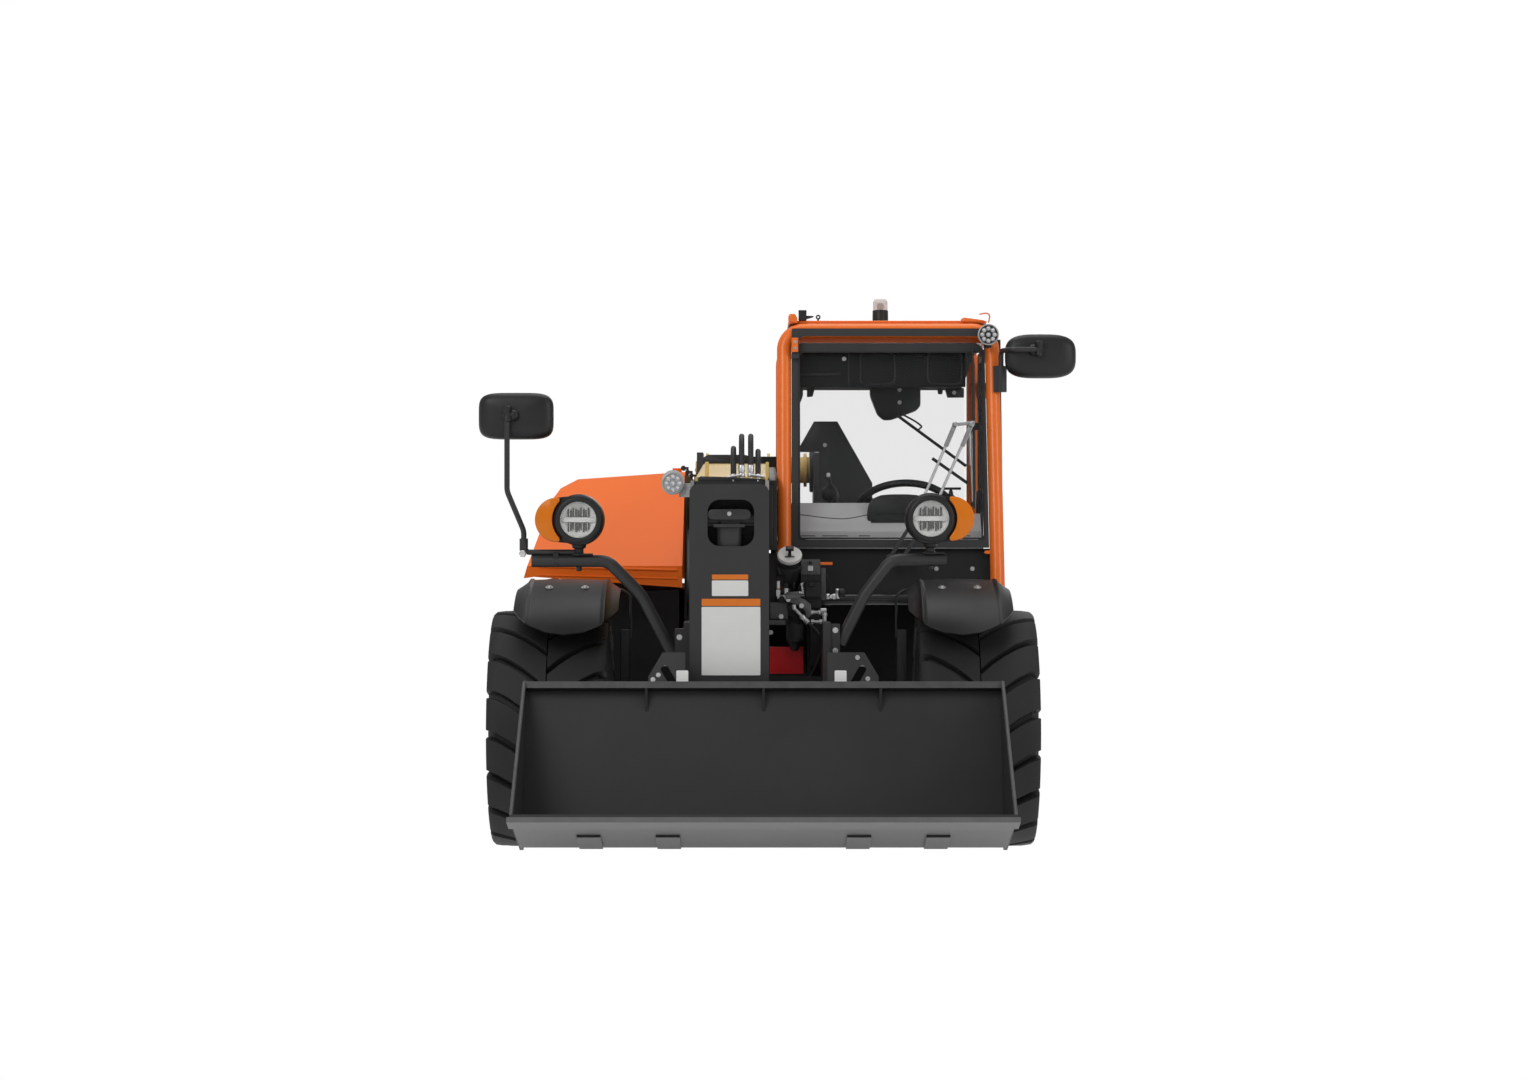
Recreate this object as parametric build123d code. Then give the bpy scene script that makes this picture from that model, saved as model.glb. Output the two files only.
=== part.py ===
"""Compact telehandler, millimetres.

Machine frame: X across (cab on +X), Y along (the front is -Y), Z up, with the front axle at Y = 0
and the floor at Z = 0. Every node is moved by SHIFT when it is written, so that the parked machine
stands on its own bounding box's bottom centre.
"""
import math
import os

from build123d import *

# Driving dimensions ---------------------------------------------------------------------------
WHEELBASE = 2150.0
TYRE_RADIUS = 393.5
TYRE_WIDTH = 394.0
WHEEL_X = 713.0
KINGPIN_X = 560.0
RIM_RADIUS = 190.0
LUG_COUNT = 18                     # on each side of the tread
LUG_HEIGHT = 24.0

PLATE_LEFT = (-261.0, -237.0)      # chassis side plate on the hood's side, X from and to
PLATE_RIGHT = (195.0, 219.0)       # chassis side plate on the cab's side

BOOM_PIVOT = (1900.0, 1306.0)      # Y, Z of the boom's rear pin
BOOM_SLOPE = 3.0                   # the parked boom falls this much towards the front, degrees
BOOM_X = -106.5                    # the boom's centre plane
OUTER_SIZE = (241.0, 250.0)        # outer boom, across and high
INNER_SIZE = (205.0, 214.0)        # inner boom
BOOM_WALL = 8.0
BOOM_DROP = -87.0                  # the beam's centre line under the rear pin
OUTER_SPAN = (-1980.0, 130.0)      # along the boom, from the rear pin
INNER_SPAN = (-2286.0, -200.0)

LIFT_PIN = (1600.0, 400.0)         # lift cylinder: lower pin on the chassis, Y and Z
LIFT_EYE = (1060.0, 990.0)         # its rod's eye under the boom
TILT_HEAD = (-505.0, 1095.0)       # tilt cylinder: upper pin in the boom head
TILT_PIVOT = (-590.0, 280.0)       # the coupler's hinge
TILT_LEVER = 140.0                 # from that hinge to the rod's eye
TILT_LEVER_ANGLE = -55.0
TILT_EYE = (TILT_PIVOT[0] + TILT_LEVER * math.cos(math.radians(TILT_LEVER_ANGLE)),
            TILT_PIVOT[1] + TILT_LEVER * math.sin(math.radians(TILT_LEVER_ANGLE)))

BUCKET_HEEL = (-850.0, 60.0)       # Y, Z of the corner between floor and back
BUCKET_TILT = 16.3                 # the parked bucket is rolled back this much
BUCKET_WIDTH = 1524.0
BUCKET_FLOOR = 500.0
BUCKET_BACK = 530.0
BUCKET_WALL = 8.0
BUCKET_BEND = 95.0                 # outer radius of the bend at the heel

CAB_LEFT = 72.0                    # centre lines of the cab's tubes
CAB_RIGHT = 800.0
CAB_SPLAY = 11.0                   # the right front post stands out this much at its foot
CAB_TOP = 1765.0
CAB_TUBE = 25.0
CAB_REAR = 1480.0
CAB_FRONT_TOP = 420.0
CAB_FRONT_FOOT = 240.0
CAB_SILL = 800.0                   # underside of the cab over the front wheel
CAB_FLOOR = 420.0
CAB_WAIST = 1000.0
CAB_INNER = 235.0                  # inner wall beside the chassis
CAB_OUTER = 810.0
DOOR_HINGE = (840.0, 1452.0)       # X, Y of the upright hinge line
DOOR_X = (814.0, 834.0)

HOOD_HINGE = (-292.0, 1292.0)      # X, Z of the hood's hinge line
HOOD_HINGES_Y = (900.0, 1600.0, 2300.0)
HOOD_Y = (285.0, 2670.0)
HOOD_WALL = 10.0
LOUVRES = 5                        # cooling slots, on the side and at the tail
LOUVRE_LOW = 960.0
LOUVRE_PITCH = 34.0
LOUVRE_GAP = 14.0

REAR_Y = 2790.0                    # back of the counterweight
HITCH_REACH = 60.0
MIRROR_HALF = (122.0, 77.0)        # half width and height of a mirror
MIRROR_LEFT = -815.0 - MIRROR_HALF[0]
MIRROR_RIGHT = 963.0 + MIRROR_HALF[0]
BUCKET_LIP_Y = BUCKET_HEEL[0] - BUCKET_FLOOR * math.cos(math.radians(BUCKET_TILT))
SHIFT = (-(MIRROR_LEFT + MIRROR_RIGHT) / 2, -(BUCKET_LIP_Y + REAR_Y + HITCH_REACH) / 2, 0.0)

WHEELS = (                         # name, X, Y, side
    ("fl", WHEEL_X, 0.0, 1),
    ("fr", -WHEEL_X, 0.0, -1),
    ("rl", WHEEL_X, WHEELBASE, 1),
    ("rr", -WHEEL_X, WHEELBASE, -1),
)


# Shapes used all over -------------------------------------------------------------------------
def block(x, y, z):
    """Box from three (from, to) pairs."""
    size = (x[1] - x[0], y[1] - y[0], z[1] - z[0])
    return Pos((x[0] + x[1]) / 2, (y[0] + y[1]) / 2, (z[0] + z[1]) / 2) * Box(*size)


def side_plate(points, x, radius=0.0):
    """Plate drawn from the side: (Y, Z) points, thickness from x[0] to x[1]."""
    face = Plane.YZ.offset(x[0]) * outline(points, radius)
    return extrude(face, amount=x[1] - x[0], dir=(1, 0, 0))


def front_plate(points, y, radius=0.0):
    """Plate drawn from the front: (X, Z) points, thickness from y[0] to y[1]."""
    face = Plane.XZ.offset(-y[0]) * outline(points, radius)
    return extrude(face, amount=y[1] - y[0], dir=(0, 1, 0))


def top_plate(points, z, radius=0.0):
    """Plate drawn from above: (X, Y) points, thickness from z[0] to z[1]."""
    face = Plane.XY.offset(z[0]) * outline(points, radius)
    return extrude(face, amount=z[1] - z[0], dir=(0, 0, 1))


def outline(points, radius):
    """Closed flat face through the points, with rounded corners if asked."""
    face = make_face(Polyline(*points, close=True))
    return fillet(face.vertices(), radius) if radius else face


def rod(start, end, radius, bore=0.0):
    """Round bar between two points, with a hole along it if asked."""
    axis = Vector(*end) - Vector(*start)
    plane = Plane(origin=start, z_dir=axis)
    profile = Circle(radius) - Circle(bore) if bore else Circle(radius)
    return extrude(plane * profile, amount=axis.length, dir=axis.normalized())


def cross_rod(yz, x, radius, bore=0.0):
    """Round bar across the machine at a (Y, Z) place."""
    return rod((x[0], *yz), (x[1], *yz), radius, bore)


def pipe(points, bends, radius):
    """Round tube along straight runs with tangent arcs, one bend radius for each inner point."""
    path = FilletPolyline(*points, radius=bends) if len(points) > 2 else Polyline(*points)
    start = Plane(origin=path @ 0, z_dir=path % 0)
    return sweep(start * Circle(radius), path=path)


def join(*pieces):
    """One node of several solids, fused where they touch."""
    whole = pieces[0]
    for piece in pieces[1:]:
        whole = whole + piece
    return whole


def apart(*pieces):
    """One node of several solids that don't touch."""
    return Compound(children=[solid for piece in pieces for solid in piece.solids()])


def on_boom(shape):
    """Places a shape drawn from the rear pin, with the boom level along -Y."""
    return Pos(0, *BOOM_PIVOT) * Rot(BOOM_SLOPE, 0, 0) * shape


def on_bucket(shape):
    """Places a shape drawn from the bucket's heel, with its floor level along -Y."""
    return Pos(0, *BUCKET_HEEL) * Rot(-BUCKET_TILT, 0, 0) * shape


# Chassis --------------------------------------------------------------------------------------
TOWER_TOP = 1373.0
TAIL_Y = 2680.0                    # front of the counterweight
HITCH_RADIUS = 14.0
HITCH_EARS = ((590.0, 610.0), (650.0, 670.0))
TIE_DOWN = (2730.0, 430.0)         # lashing eye under the counterweight, Y and Z
TIE_DOWN_X = ((-640.0, -620.0), (620.0, 640.0))
TIE_DOWN_RADIUS = 18.0
AXLE_NOTCH = (120.0, 472.0)        # half length and height of the gap over each axle


def chassis_plate(x):
    """Long side plate: nose, notch over each axle and the tower for the boom's pin."""
    half, high = AXLE_NOTCH
    points = (
        (-400, 430), (-half, 430), (-half, high), (half, high), (half, 330),
        (WHEELBASE - half, 330), (WHEELBASE - half, high), (WHEELBASE + half, high),
        (WHEELBASE + half, 330), (2500, 330), (TAIL_Y, 420), (TAIL_Y, 800), (2160, 800), (2010, TOWER_TOP),
        (1800, TOWER_TOP), (1560, 760), (300, 640), (-180, 760), (-400, 760),
    )
    plate = side_plate(points, x)
    return plate - cross_rod(BOOM_PIVOT, (x[0] - 1, x[1] + 1), PIN_RADIUS + 0.05)


PIN_RADIUS = 35.0
LIFT_PIN_RADIUS = 22.0
CROSS_WALLS = (                    # Y from and to, Z from and to
    ((-200, -184), (480, 575)),
    ((180, 196), (342, 600)),
    ((1990, 2006), (480, 740)),
    ((2300, 2316), (340, 690)),
)


def chassis_plates():
    return apart(chassis_plate(PLATE_LEFT), chassis_plate(PLATE_RIGHT))


def chassis_walls():
    """Cross walls, belly plate with the lift cylinder's lugs and pin, and a pad over each axle."""
    inside = (PLATE_LEFT[1], PLATE_RIGHT[0])
    belly = block(inside, (200, 1980), (330, 342))
    walls = [block(inside, y, z) for y, z in CROSS_WALLS]
    foot_y, foot_z = LIFT_PIN
    foot = ((foot_y - 90, 335), (foot_y + 90, 335), (foot_y + 40, foot_z + 40), (foot_y - 40, foot_z + 40))
    lugs = [side_plate(foot, (BOOM_X + side - 8, BOOM_X + side + 8)) for side in (-66, 66)]
    pin = cross_rod(LIFT_PIN, (BOOM_X - 78, BOOM_X + 78), LIFT_PIN_RADIUS)
    pads = [block(inside, (y - 70, y + 70), (AXLE_NOTCH[1] - 14, AXLE_NOTCH[1])) for y in (0.0, WHEELBASE)]
    tail = block(inside, (2502, TAIL_Y), (430, 790))
    return apart(join(belly, *lugs, pin), *walls, *pads, tail)


YOKE_REACH = 95.0                  # half height of an axle's fork
EAR = 22.0                         # thickness of a fork's ear
KING_RADIUS = 15.0


def axle_beam(y):
    """Beam axle: gear housing in the middle, tapering tubes and a fork at each end."""
    axis = (y, TYRE_RADIUS)
    housing = Pos(0, *axis) * Sphere(118)
    housing = housing & block((-110, 110), (y - 130, y + 130), (240, AXLE_NOTCH[1] - 14))
    saddle = block((-200, 180), (y - 60, y + 60), (TYRE_RADIUS, AXLE_NOTCH[1] - 14))
    tube = cross_rod(axis, (-470, 470), 52)
    pieces = [housing, saddle, tube]
    for side in (-1, 1):
        low, high = TYRE_RADIUS - YOKE_REACH, TYRE_RADIUS + YOKE_REACH
        points = ((side * 440, low + 45), (side * 480, low), (side * 590, low), (side * 590, high),
                  (side * 480, high), (side * 440, high - 45))
        fork = front_plate(points, (y - 36, y + 36))
        gap = block(sorted((side * 500, side * 700)), (y - 40, y + 40), (low + EAR, high - EAR))
        bore = rod((side * KINGPIN_X, y, low - 5), (side * KINGPIN_X, y, high + 5), KING_RADIUS + 0.05)
        pieces.append(fork - gap - bore)
    return join(*pieces)


def axle_beams():
    return apart(axle_beam(0.0), axle_beam(WHEELBASE))


def counterweight():
    """Cast rear weight across the machine, drawn in towards its ends and undercut below."""
    middle = (TAIL_Y + REAR_Y) / 2
    points = ((-700, TAIL_Y), (700, TAIL_Y), (720, middle), (640, REAR_Y - 20), (260, REAR_Y),
              (-260, REAR_Y), (-640, REAR_Y - 20), (-720, middle))
    side = ((TAIL_Y, 470), (REAR_Y - 45, 470), (REAR_Y, 560), (REAR_Y, 800),
            (REAR_Y - 40, 850), (TAIL_Y, 850))
    body = top_plate(points, (470, 850)) & side_plate(side, (-730, 730))
    return chamfer(body.faces().sort_by(Axis.Z)[-1].edges(), 8)


def rear_fittings():
    """Hitch clevis behind the counterweight and a lashing lug under each of its ends."""
    hitch_y = REAR_Y + HITCH_REACH - 30
    pieces = []
    for z in HITCH_EARS:
        ear = block((-45, 45), (REAR_Y, hitch_y), z) + rod((0, hitch_y, z[0]), (0, hitch_y, z[1]), 30)
        pieces.append(ear - rod((0, hitch_y, z[0] - 1), (0, hitch_y, z[1] + 1), HITCH_RADIUS))
    pin_y, pin_z = TIE_DOWN
    for x in TIE_DOWN_X:
        lug = block(x, (pin_y - 22, pin_y + 22), (pin_z, 470)) + cross_rod(TIE_DOWN, x, 32)
        pieces.append(lug - cross_rod(TIE_DOWN, (x[0] - 1, x[1] + 1), TIE_DOWN_RADIUS))
    return apart(*pieces)


# Running gear ---------------------------------------------------------------------------------
HUB_FACE = 640.0                   # |X| where the wheel's disc meets the knuckle's spindle
SPINDLE_RADIUS = 45.0


def knuckle(x, y, side):
    """Steering knuckle: kingpins, body and spindle, and the mudguard's post at the front."""
    body_z = YOKE_REACH - EAR - 1.0
    king = side * KINGPIN_X
    body = rod((king, y, TYRE_RADIUS - body_z), (king, y, TYRE_RADIUS + body_z), 30)
    pins = rod((king, y, TYRE_RADIUS - YOKE_REACH), (king, y, TYRE_RADIUS + YOKE_REACH + 2), KING_RADIUS)
    spindle = cross_rod((y, TYRE_RADIUS), sorted((king, side * 700)), SPINDLE_RADIUS)
    flange = cross_rod((y, TYRE_RADIUS), sorted((side * 596, side * 620)), 70)
    return join(body, pins, spindle, flange)


def tyre(x, y, side):
    """Tyre with angled bar lugs, half a pitch apart on its two sides."""
    half = TYRE_WIDTH / 2
    base = TYRE_RADIUS - LUG_HEIGHT
    points = ((RIM_RADIUS, -half + 50), (RIM_RADIUS + 50, -half + 8), (base - 70, -half),
              (base - 18, -half + 24), (base, -half + 70), (base, half - 70), (base - 18, half - 24),
              (base - 70, half),
              (RIM_RADIUS + 50, half - 8), (RIM_RADIUS, half - 50))
    face = Plane.YX * make_face(Polyline(*points, close=True))
    casing = revolve(face, Axis.X, 360)
    pitch = 360.0 / LUG_COUNT
    lugs = []
    for index in range(LUG_COUNT):
        for flank in (-1, 1):
            lugs.append(Rot(index * pitch + (pitch / 2 if flank > 0 else 0.0), 0, 0) * lug(flank))
    return Pos(x, y, TYRE_RADIUS) * casing.fuse(*lugs)


def lug(flank):
    """One bar from the tyre's middle, bent back over its shoulder."""
    half = TYRE_WIDTH / 2
    top, low = TYRE_RADIUS, TYRE_RADIUS - LUG_HEIGHT - 30
    near = ((8, 20), (8, 62), (105, -2), (half - 14, -34), (half - 14, -84), (95, -50))
    plan = [(flank * across, along) for across, along in near]
    bar = extrude(Plane.XY.offset(low) * make_face(Polyline(*plan, close=True)), amount=top - low)
    slant = ((half - 14, low - 60), (half + 20, low - 60), (half + 20, top + 5), (half - 30, top + 5))
    bevel = front_plate([(flank * across, up) for across, up in slant], (-120, 120))
    return bar - bevel


def rim(x, y, side):
    """Steel rim: barrel, dished disc, bolt ring and hub."""
    half = TYRE_WIDTH / 2
    barrel = cross_rod((0, 0), (-half + 45, half - 45), RIM_RADIUS - 0.5, RIM_RADIUS - 9)
    disc = cross_rod((0, 0), (-18, -6), RIM_RADIUS - 5)
    hub = cross_rod((0, 0), (-60, 45), 75)
    bore = cross_rod((0, 0), (-61, -12), SPINDLE_RADIUS + 0.05)
    wheel = barrel + disc + hub - bore
    wheel = wheel if side > 0 else Rot(0, 180, 0) * wheel
    return Pos(x, y, TYRE_RADIUS) * wheel


MUDGUARD_X = 655.0
MUDGUARD_WIDTH = 348.0
MUDGUARD_INNER = 500.0
MUDGUARD_WALL = 6.0
MUDGUARD_FLAT = 256.0              # flat middle of its section
MUDGUARD_DROP = 34.0               # fall of the side facets
MUDGUARD_EDGE = (236.0, 957.0)     # radius of the rounded front edge and its centre's height
MUDGUARD_ARC = (41.0, 95.0)        # from the front to the top, degrees above level


def mudguard(side):
    """Front mudguard that steers with the wheel, on a bent stay."""
    first, last = MUDGUARD_ARC
    centre = side * MUDGUARD_X
    width = MUDGUARD_WIDTH
    flat, edge, drop = MUDGUARD_FLAT / 2, width / 2, MUDGUARD_DROP
    outer, inner = MUDGUARD_INNER + MUDGUARD_WALL, MUDGUARD_INNER
    section = ((outer - drop, -edge), (outer, -flat), (outer, flat), (outer - drop, edge),
               (inner - drop, edge), (inner, flat), (inner, -flat), (inner - drop, -edge))
    face = Plane.YX * make_face(Polyline(*section, close=True))
    ring = Pos(centre, 0, TYRE_RADIUS) * revolve(face, Axis.X, 360)
    far = 900.0
    sector = [(0, TYRE_RADIUS)]
    for angle in (first, (first + last) / 2, last):
        turn = math.radians(angle)
        sector.append((-far * math.cos(turn), TYRE_RADIUS + far * math.sin(turn)))
    wedge = side_plate(sector, (centre - width / 2 - 1, centre + width / 2 + 1))
    round_edge = rod((centre, -700, MUDGUARD_EDGE[1]), (centre, 300, MUDGUARD_EDGE[1]), MUDGUARD_EDGE[0])
    guard = ring & wedge & round_edge
    stay_x = side * 465.0
    edge_x = centre - side * width / 2
    top = TYRE_RADIUS + MUDGUARD_INNER
    post = block(sorted((stay_x - 9, stay_x + 9)), (-20, 20), (TYRE_RADIUS + 100, 740))
    arm = pipe([(stay_x, 0, 735), (stay_x, 0, top - 7), (edge_x + side * 90, 0, top - 7)], [40], 8)
    foot = block(sorted((stay_x - side * 9, side * 600)), (-20, 20), (TYRE_RADIUS + 97, TYRE_RADIUS + 109))
    return join(guard, post, arm, foot)


# Boom -----------------------------------------------------------------------------------------
def beam(size, span, wall):
    """Square tube along the boom."""
    wide, high = size[0] / 2, size[1] / 2
    outside = block((BOOM_X - wide, BOOM_X + wide), span, (BOOM_DROP - high, BOOM_DROP + high))
    inside = block((BOOM_X - wide + wall, BOOM_X + wide - wall), (span[0] - 1, span[1] + 1),
                   (BOOM_DROP - high + wall, BOOM_DROP + high - wall))
    return outside - inside


def boom_outer():
    """Outer boom with its cross tube, pin ends, slide pads at the mouth and lugs for the lift rod."""
    tube = on_boom(beam(OUTER_SIZE, OUTER_SPAN, BOOM_WALL))
    cross = cross_rod(BOOM_PIVOT, (-228, 187), 52)
    ends = cross_rod(BOOM_PIVOT, (PLATE_LEFT[0] - 6, PLATE_RIGHT[1] + 22), PIN_RADIUS)
    gap = (OUTER_SIZE[0] - INNER_SIZE[0]) / 2 - BOOM_WALL
    mouth = (OUTER_SPAN[0], OUTER_SPAN[0] + 120)
    wide, high = INNER_SIZE[0] / 2, INNER_SIZE[1] / 2
    pads = []
    for side in (-1, 1):
        x = sorted((BOOM_X + side * (wide + 0.5), BOOM_X + side * (wide + gap)))
        pads.append(block(x, mouth, (BOOM_DROP - 70, BOOM_DROP + 70)))
        z = sorted((BOOM_DROP + side * (high + 0.5), BOOM_DROP + side * (high + gap)))
        pads.append(block((BOOM_X - 70, BOOM_X + 70), mouth, z))
    eye_y, eye_z = LIFT_EYE
    drop = ((eye_y - 130, eye_z + 57), (eye_y - 60, eye_z - 45), (eye_y + 60, eye_z - 45),
            (eye_y + 170, eye_z + 73))
    lugs = [side_plate(drop, (BOOM_X + side - 7, BOOM_X + side + 7)) for side in (-62, 62)]
    flanges = [cross_rod(BOOM_PIVOT, (x - 6, x + 6), 66) for x in (-221, 20, 164)]
    end = beam(OUTER_SIZE, (OUTER_SPAN[1] - 6, OUTER_SPAN[1]), OUTER_SIZE[0] / 2 - 20)
    return join(tube, on_boom(end), cross, ends, *flanges, *[on_boom(pad) for pad in pads], *lugs)


def boom_inner():
    """Inner boom with the flange that the head is bolted to."""
    tube = on_boom(beam(INNER_SIZE, INNER_SPAN, BOOM_WALL))
    ring = block((-224, 4), (-385, -371), (985, 1236)) - block((-200, -14), (-386, -370), (1010, 1195))
    return join(tube, ring)


HEAD_X = (-238.0, 18.0)
HEAD_WALL = 12.0
HEAD_FRONT = -575.0
TILT_PIN_RADIUS = 20.0


def boom_head():
    """Head on the inner boom: side cheeks, collar, back wall and the two cross pins' seats."""
    hinge_y, hinge_z = TILT_PIVOT
    cheek = ((HEAD_FRONT + 10, 1190), (-390, 1225), (-300, 1190), (-300, 1000), (-420, 900),
             (-500, 330), (hinge_y + 48, hinge_z - 10), (hinge_y - 20, hinge_z - 48),
             (hinge_y - 46, hinge_z), (HEAD_FRONT + 10, 380))
    left = side_plate(cheek, (HEAD_X[0], HEAD_X[0] + HEAD_WALL))
    right = side_plate(cheek, (HEAD_X[1] - HEAD_WALL, HEAD_X[1]))
    collar = block(HEAD_X, (-400, -385), (985, 1222))
    top = block(HEAD_X, (-555, -385), (1180, 1192))
    upper = cross_rod(TILT_HEAD, HEAD_X, TILT_PIN_RADIUS)
    hinge = cross_rod(TILT_PIVOT, (HEAD_X[0] - 30, HEAD_X[1] + 30), 24)
    return join(left, right, collar, top, upper, hinge)


def head_plate():
    """Cover plate on the head's front, with its rounded opening."""
    wide = (HEAD_X[0], HEAD_X[1])
    points = ((wide[0], 400), (wide[1], 400), (wide[1], 1210), (wide[0], 1210))
    plate = front_plate(points, (HEAD_FRONT, HEAD_FRONT + 10), 28)
    hole = front_plate(((-180, 1010), (-30, 1010), (-30, 1160), (-180, 1160)),
                       (HEAD_FRONT - 1, HEAD_FRONT + 11), 40)
    return plate - hole


HOSE_RADIUS = 9.5
HOSE_LEGS = (-378.0, -221.0)       # Y of a loop's front and rear leg


def boom_hoses():
    """Four hose loops that stand over the front of the boom."""
    table = ((-99, 1332), (-72, 1372), (-42, 1372), (-18, 1322))       # X, top Z
    front, rear = HOSE_LEGS
    loops = []
    for x, top in table:
        points = [(x, rear, 1216), (x, rear, top), (x, front, top), (x, front, 1236)]
        loops.append(pipe(points, [76, 76], HOSE_RADIUS))
    return apart(*loops)


# Cylinders ------------------------------------------------------------------------------------
def between(start, end, amount):
    """Point at a share of the way between two (Y, Z) places."""
    return tuple(a + (b - a) * amount for a, b in zip(start, end))


def at_length(start, end, length):
    """Point that far from start towards end."""
    return between(start, end, length / math.dist(start, end))


def barrel(foot, eye, length, radius, bore, pin):
    """Cylinder barrel from its pin towards the rod's eye, open at the far end for the rod."""
    x = BOOM_X
    near, far = at_length(foot, eye, 45), at_length(foot, eye, length)
    tube = rod((x, *near), (x, *far), radius)
    knuckle_eye = cross_rod(foot, (x - 30, x + 30), pin + 20)
    hole = rod((x, *at_length(foot, eye, 75)), (x, *at_length(foot, eye, length + 1)), bore + 0.05)
    return tube + knuckle_eye - cross_rod(foot, (x - 40, x + 40), pin + 0.05) - hole


def piston_rod(foot, eye, inside, radius, eye_radius, eye_half):
    """Rod with its eye; inside is how far from the barrel's pin it starts."""
    x = BOOM_X
    shaft = rod((x, *at_length(foot, eye, inside)), (x, *eye), radius)
    return shaft + cross_rod(eye, (x - eye_half, x + eye_half), eye_radius)


LIFT_LENGTH = math.dist(LIFT_PIN, LIFT_EYE)
TILT_LENGTH = math.dist(TILT_HEAD, TILT_EYE)


def lift_cylinder():
    return barrel(LIFT_PIN, LIFT_EYE, LIFT_LENGTH - 75, 52, 28, LIFT_PIN_RADIUS)


def lift_rod():
    return piston_rod(LIFT_PIN, LIFT_EYE, 85, 28, 40, 30)


def tilt_cylinder():
    return barrel(TILT_HEAD, TILT_EYE, TILT_LENGTH - 250, 40, 20, TILT_PIN_RADIUS)


def tilt_rod():
    return piston_rod(TILT_HEAD, TILT_EYE, TILT_LENGTH - 560, 20, 30, 20)


# Coupler and bucket ---------------------------------------------------------------------------
def to_bucket(yz):
    """A machine (Y, Z) place in the bucket's own frame."""
    turn = math.radians(BUCKET_TILT)
    y, z = yz[0] - BUCKET_HEEL[0], yz[1] - BUCKET_HEEL[1]
    return (y * math.cos(turn) - z * math.sin(turn), y * math.sin(turn) + z * math.cos(turn))


def coupler():
    """Tool carrier: two uprights, a cross plate, ears on the hinge and the tilt rod's lever."""
    hinge = to_bucket(TILT_PIVOT)
    eye = to_bucket(TILT_EYE)
    face = (10.0, 24.0)
    pieces = [block((-367, 367), face, (90, 240))]
    for x in ((-367, -250), (204, 367)):
        outer = min(x) if x[0] < 0 else max(x)
        inner = max(x) if x[0] < 0 else min(x)
        points = ((outer, 120), (inner, 120), (inner, 640), (outer - math.copysign(45, outer), 640),
                  (outer, 560))
        slot_x = math.copysign(300, outer)
        slot = Plane.XZ * Pos(slot_x, 560) * Rot(0, 0, math.copysign(60, outer)) * SlotOverall(84, 26)
        slot = extrude(slot, amount=60, dir=(0, 1, 0))
        pieces.append(front_plate(points, face) - slot)
    for x in ((-264, -246), (26, 44)):
        points = ((20, 110), (hinge[0] + 20, hinge[1] - 45), (hinge[0] + 45, hinge[1]),
                  (hinge[0], hinge[1] + 45), (20, 420))
        ear = side_plate(points, x)
        pieces.append(ear - cross_rod(hinge, (x[0] - 1, x[1] + 1), 24.05))
    for side in (-34, 34):
        x = (BOOM_X + side - 7, BOOM_X + side + 7)
        points = ((20, 100), (eye[0] - 20, eye[1] - 60), (eye[0] + 60, eye[1] - 30),
                  (eye[0] + 50, eye[1] + 50), (hinge[0] - 60, hinge[1] - 60), (20, 235))
        pieces.append(side_plate(points, x))
    return on_bucket(join(*pieces))


def bucket_corner(inset):
    """Square side outline of the bucket, rounded at the heel and drawn in by the wall where asked."""
    floor, back = BUCKET_FLOOR + 5 * inset, BUCKET_BACK + 5 * inset
    face = make_face(Polyline((-floor, inset), (-inset, inset), (-inset, back), (-floor, back), close=True))
    heel = face.vertices().sort_by_distance((-inset, inset, 0))[0]
    return fillet(heel, BUCKET_BEND - inset)


def bucket():
    """Bucket: bent floor and back, two side plates, top rail and gussets."""
    half = BUCKET_WIDTH / 2
    section = bucket_corner(0.0) - bucket_corner(BUCKET_WALL)
    shell = extrude(Plane.YZ.offset(-half) * section, amount=2 * half, dir=(1, 0, 0))
    corners = ((-BUCKET_FLOOR + 4, 0), (0, 0), (0, BUCKET_BACK), (-45, BUCKET_BACK))
    cheek = make_face(Polyline(*corners, close=True))
    cheek = fillet(cheek.vertices().sort_by_distance((0, 0, 0))[0], BUCKET_BEND)
    pieces = [shell]
    for x in (-half, half - 10):
        pieces.append(extrude(Plane.YZ.offset(x) * cheek, amount=10, dir=(1, 0, 0)))
    pieces.append(block((-half, half), (-48, 0), (BUCKET_BACK - 22, BUCKET_BACK)))
    for x in (-371, 0, 371):
        gusset = ((-48, BUCKET_BACK - 21), (-7, BUCKET_BACK - 21), (-7, BUCKET_BACK - 90))
        pieces.append(side_plate(gusset, (x - 4, x + 4)))
    return on_bucket(join(*pieces))


def cutting_edge():
    """Wider blade under the lip and the four wear pads under the floor."""
    half = 770.0
    blade = block((-half, half), (-BUCKET_FLOOR - 0.0, -BUCKET_FLOOR + 100), (-16, -0.0))
    pads = [block((x - 37, x + 37), (-BUCKET_FLOOR + 100, -100), (-12, 0)) for x in (-548, -302, 302, 548)]
    return on_bucket(join(blade, *pads))


# Cab ------------------------------------------------------------------------------------------
def cab_post_y(z):
    """Y of the raked front posts at a height."""
    share = (z - CAB_SILL) / (CAB_TOP - CAB_SILL)
    return CAB_FRONT_FOOT + (CAB_FRONT_TOP - CAB_FRONT_FOOT) * share


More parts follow.
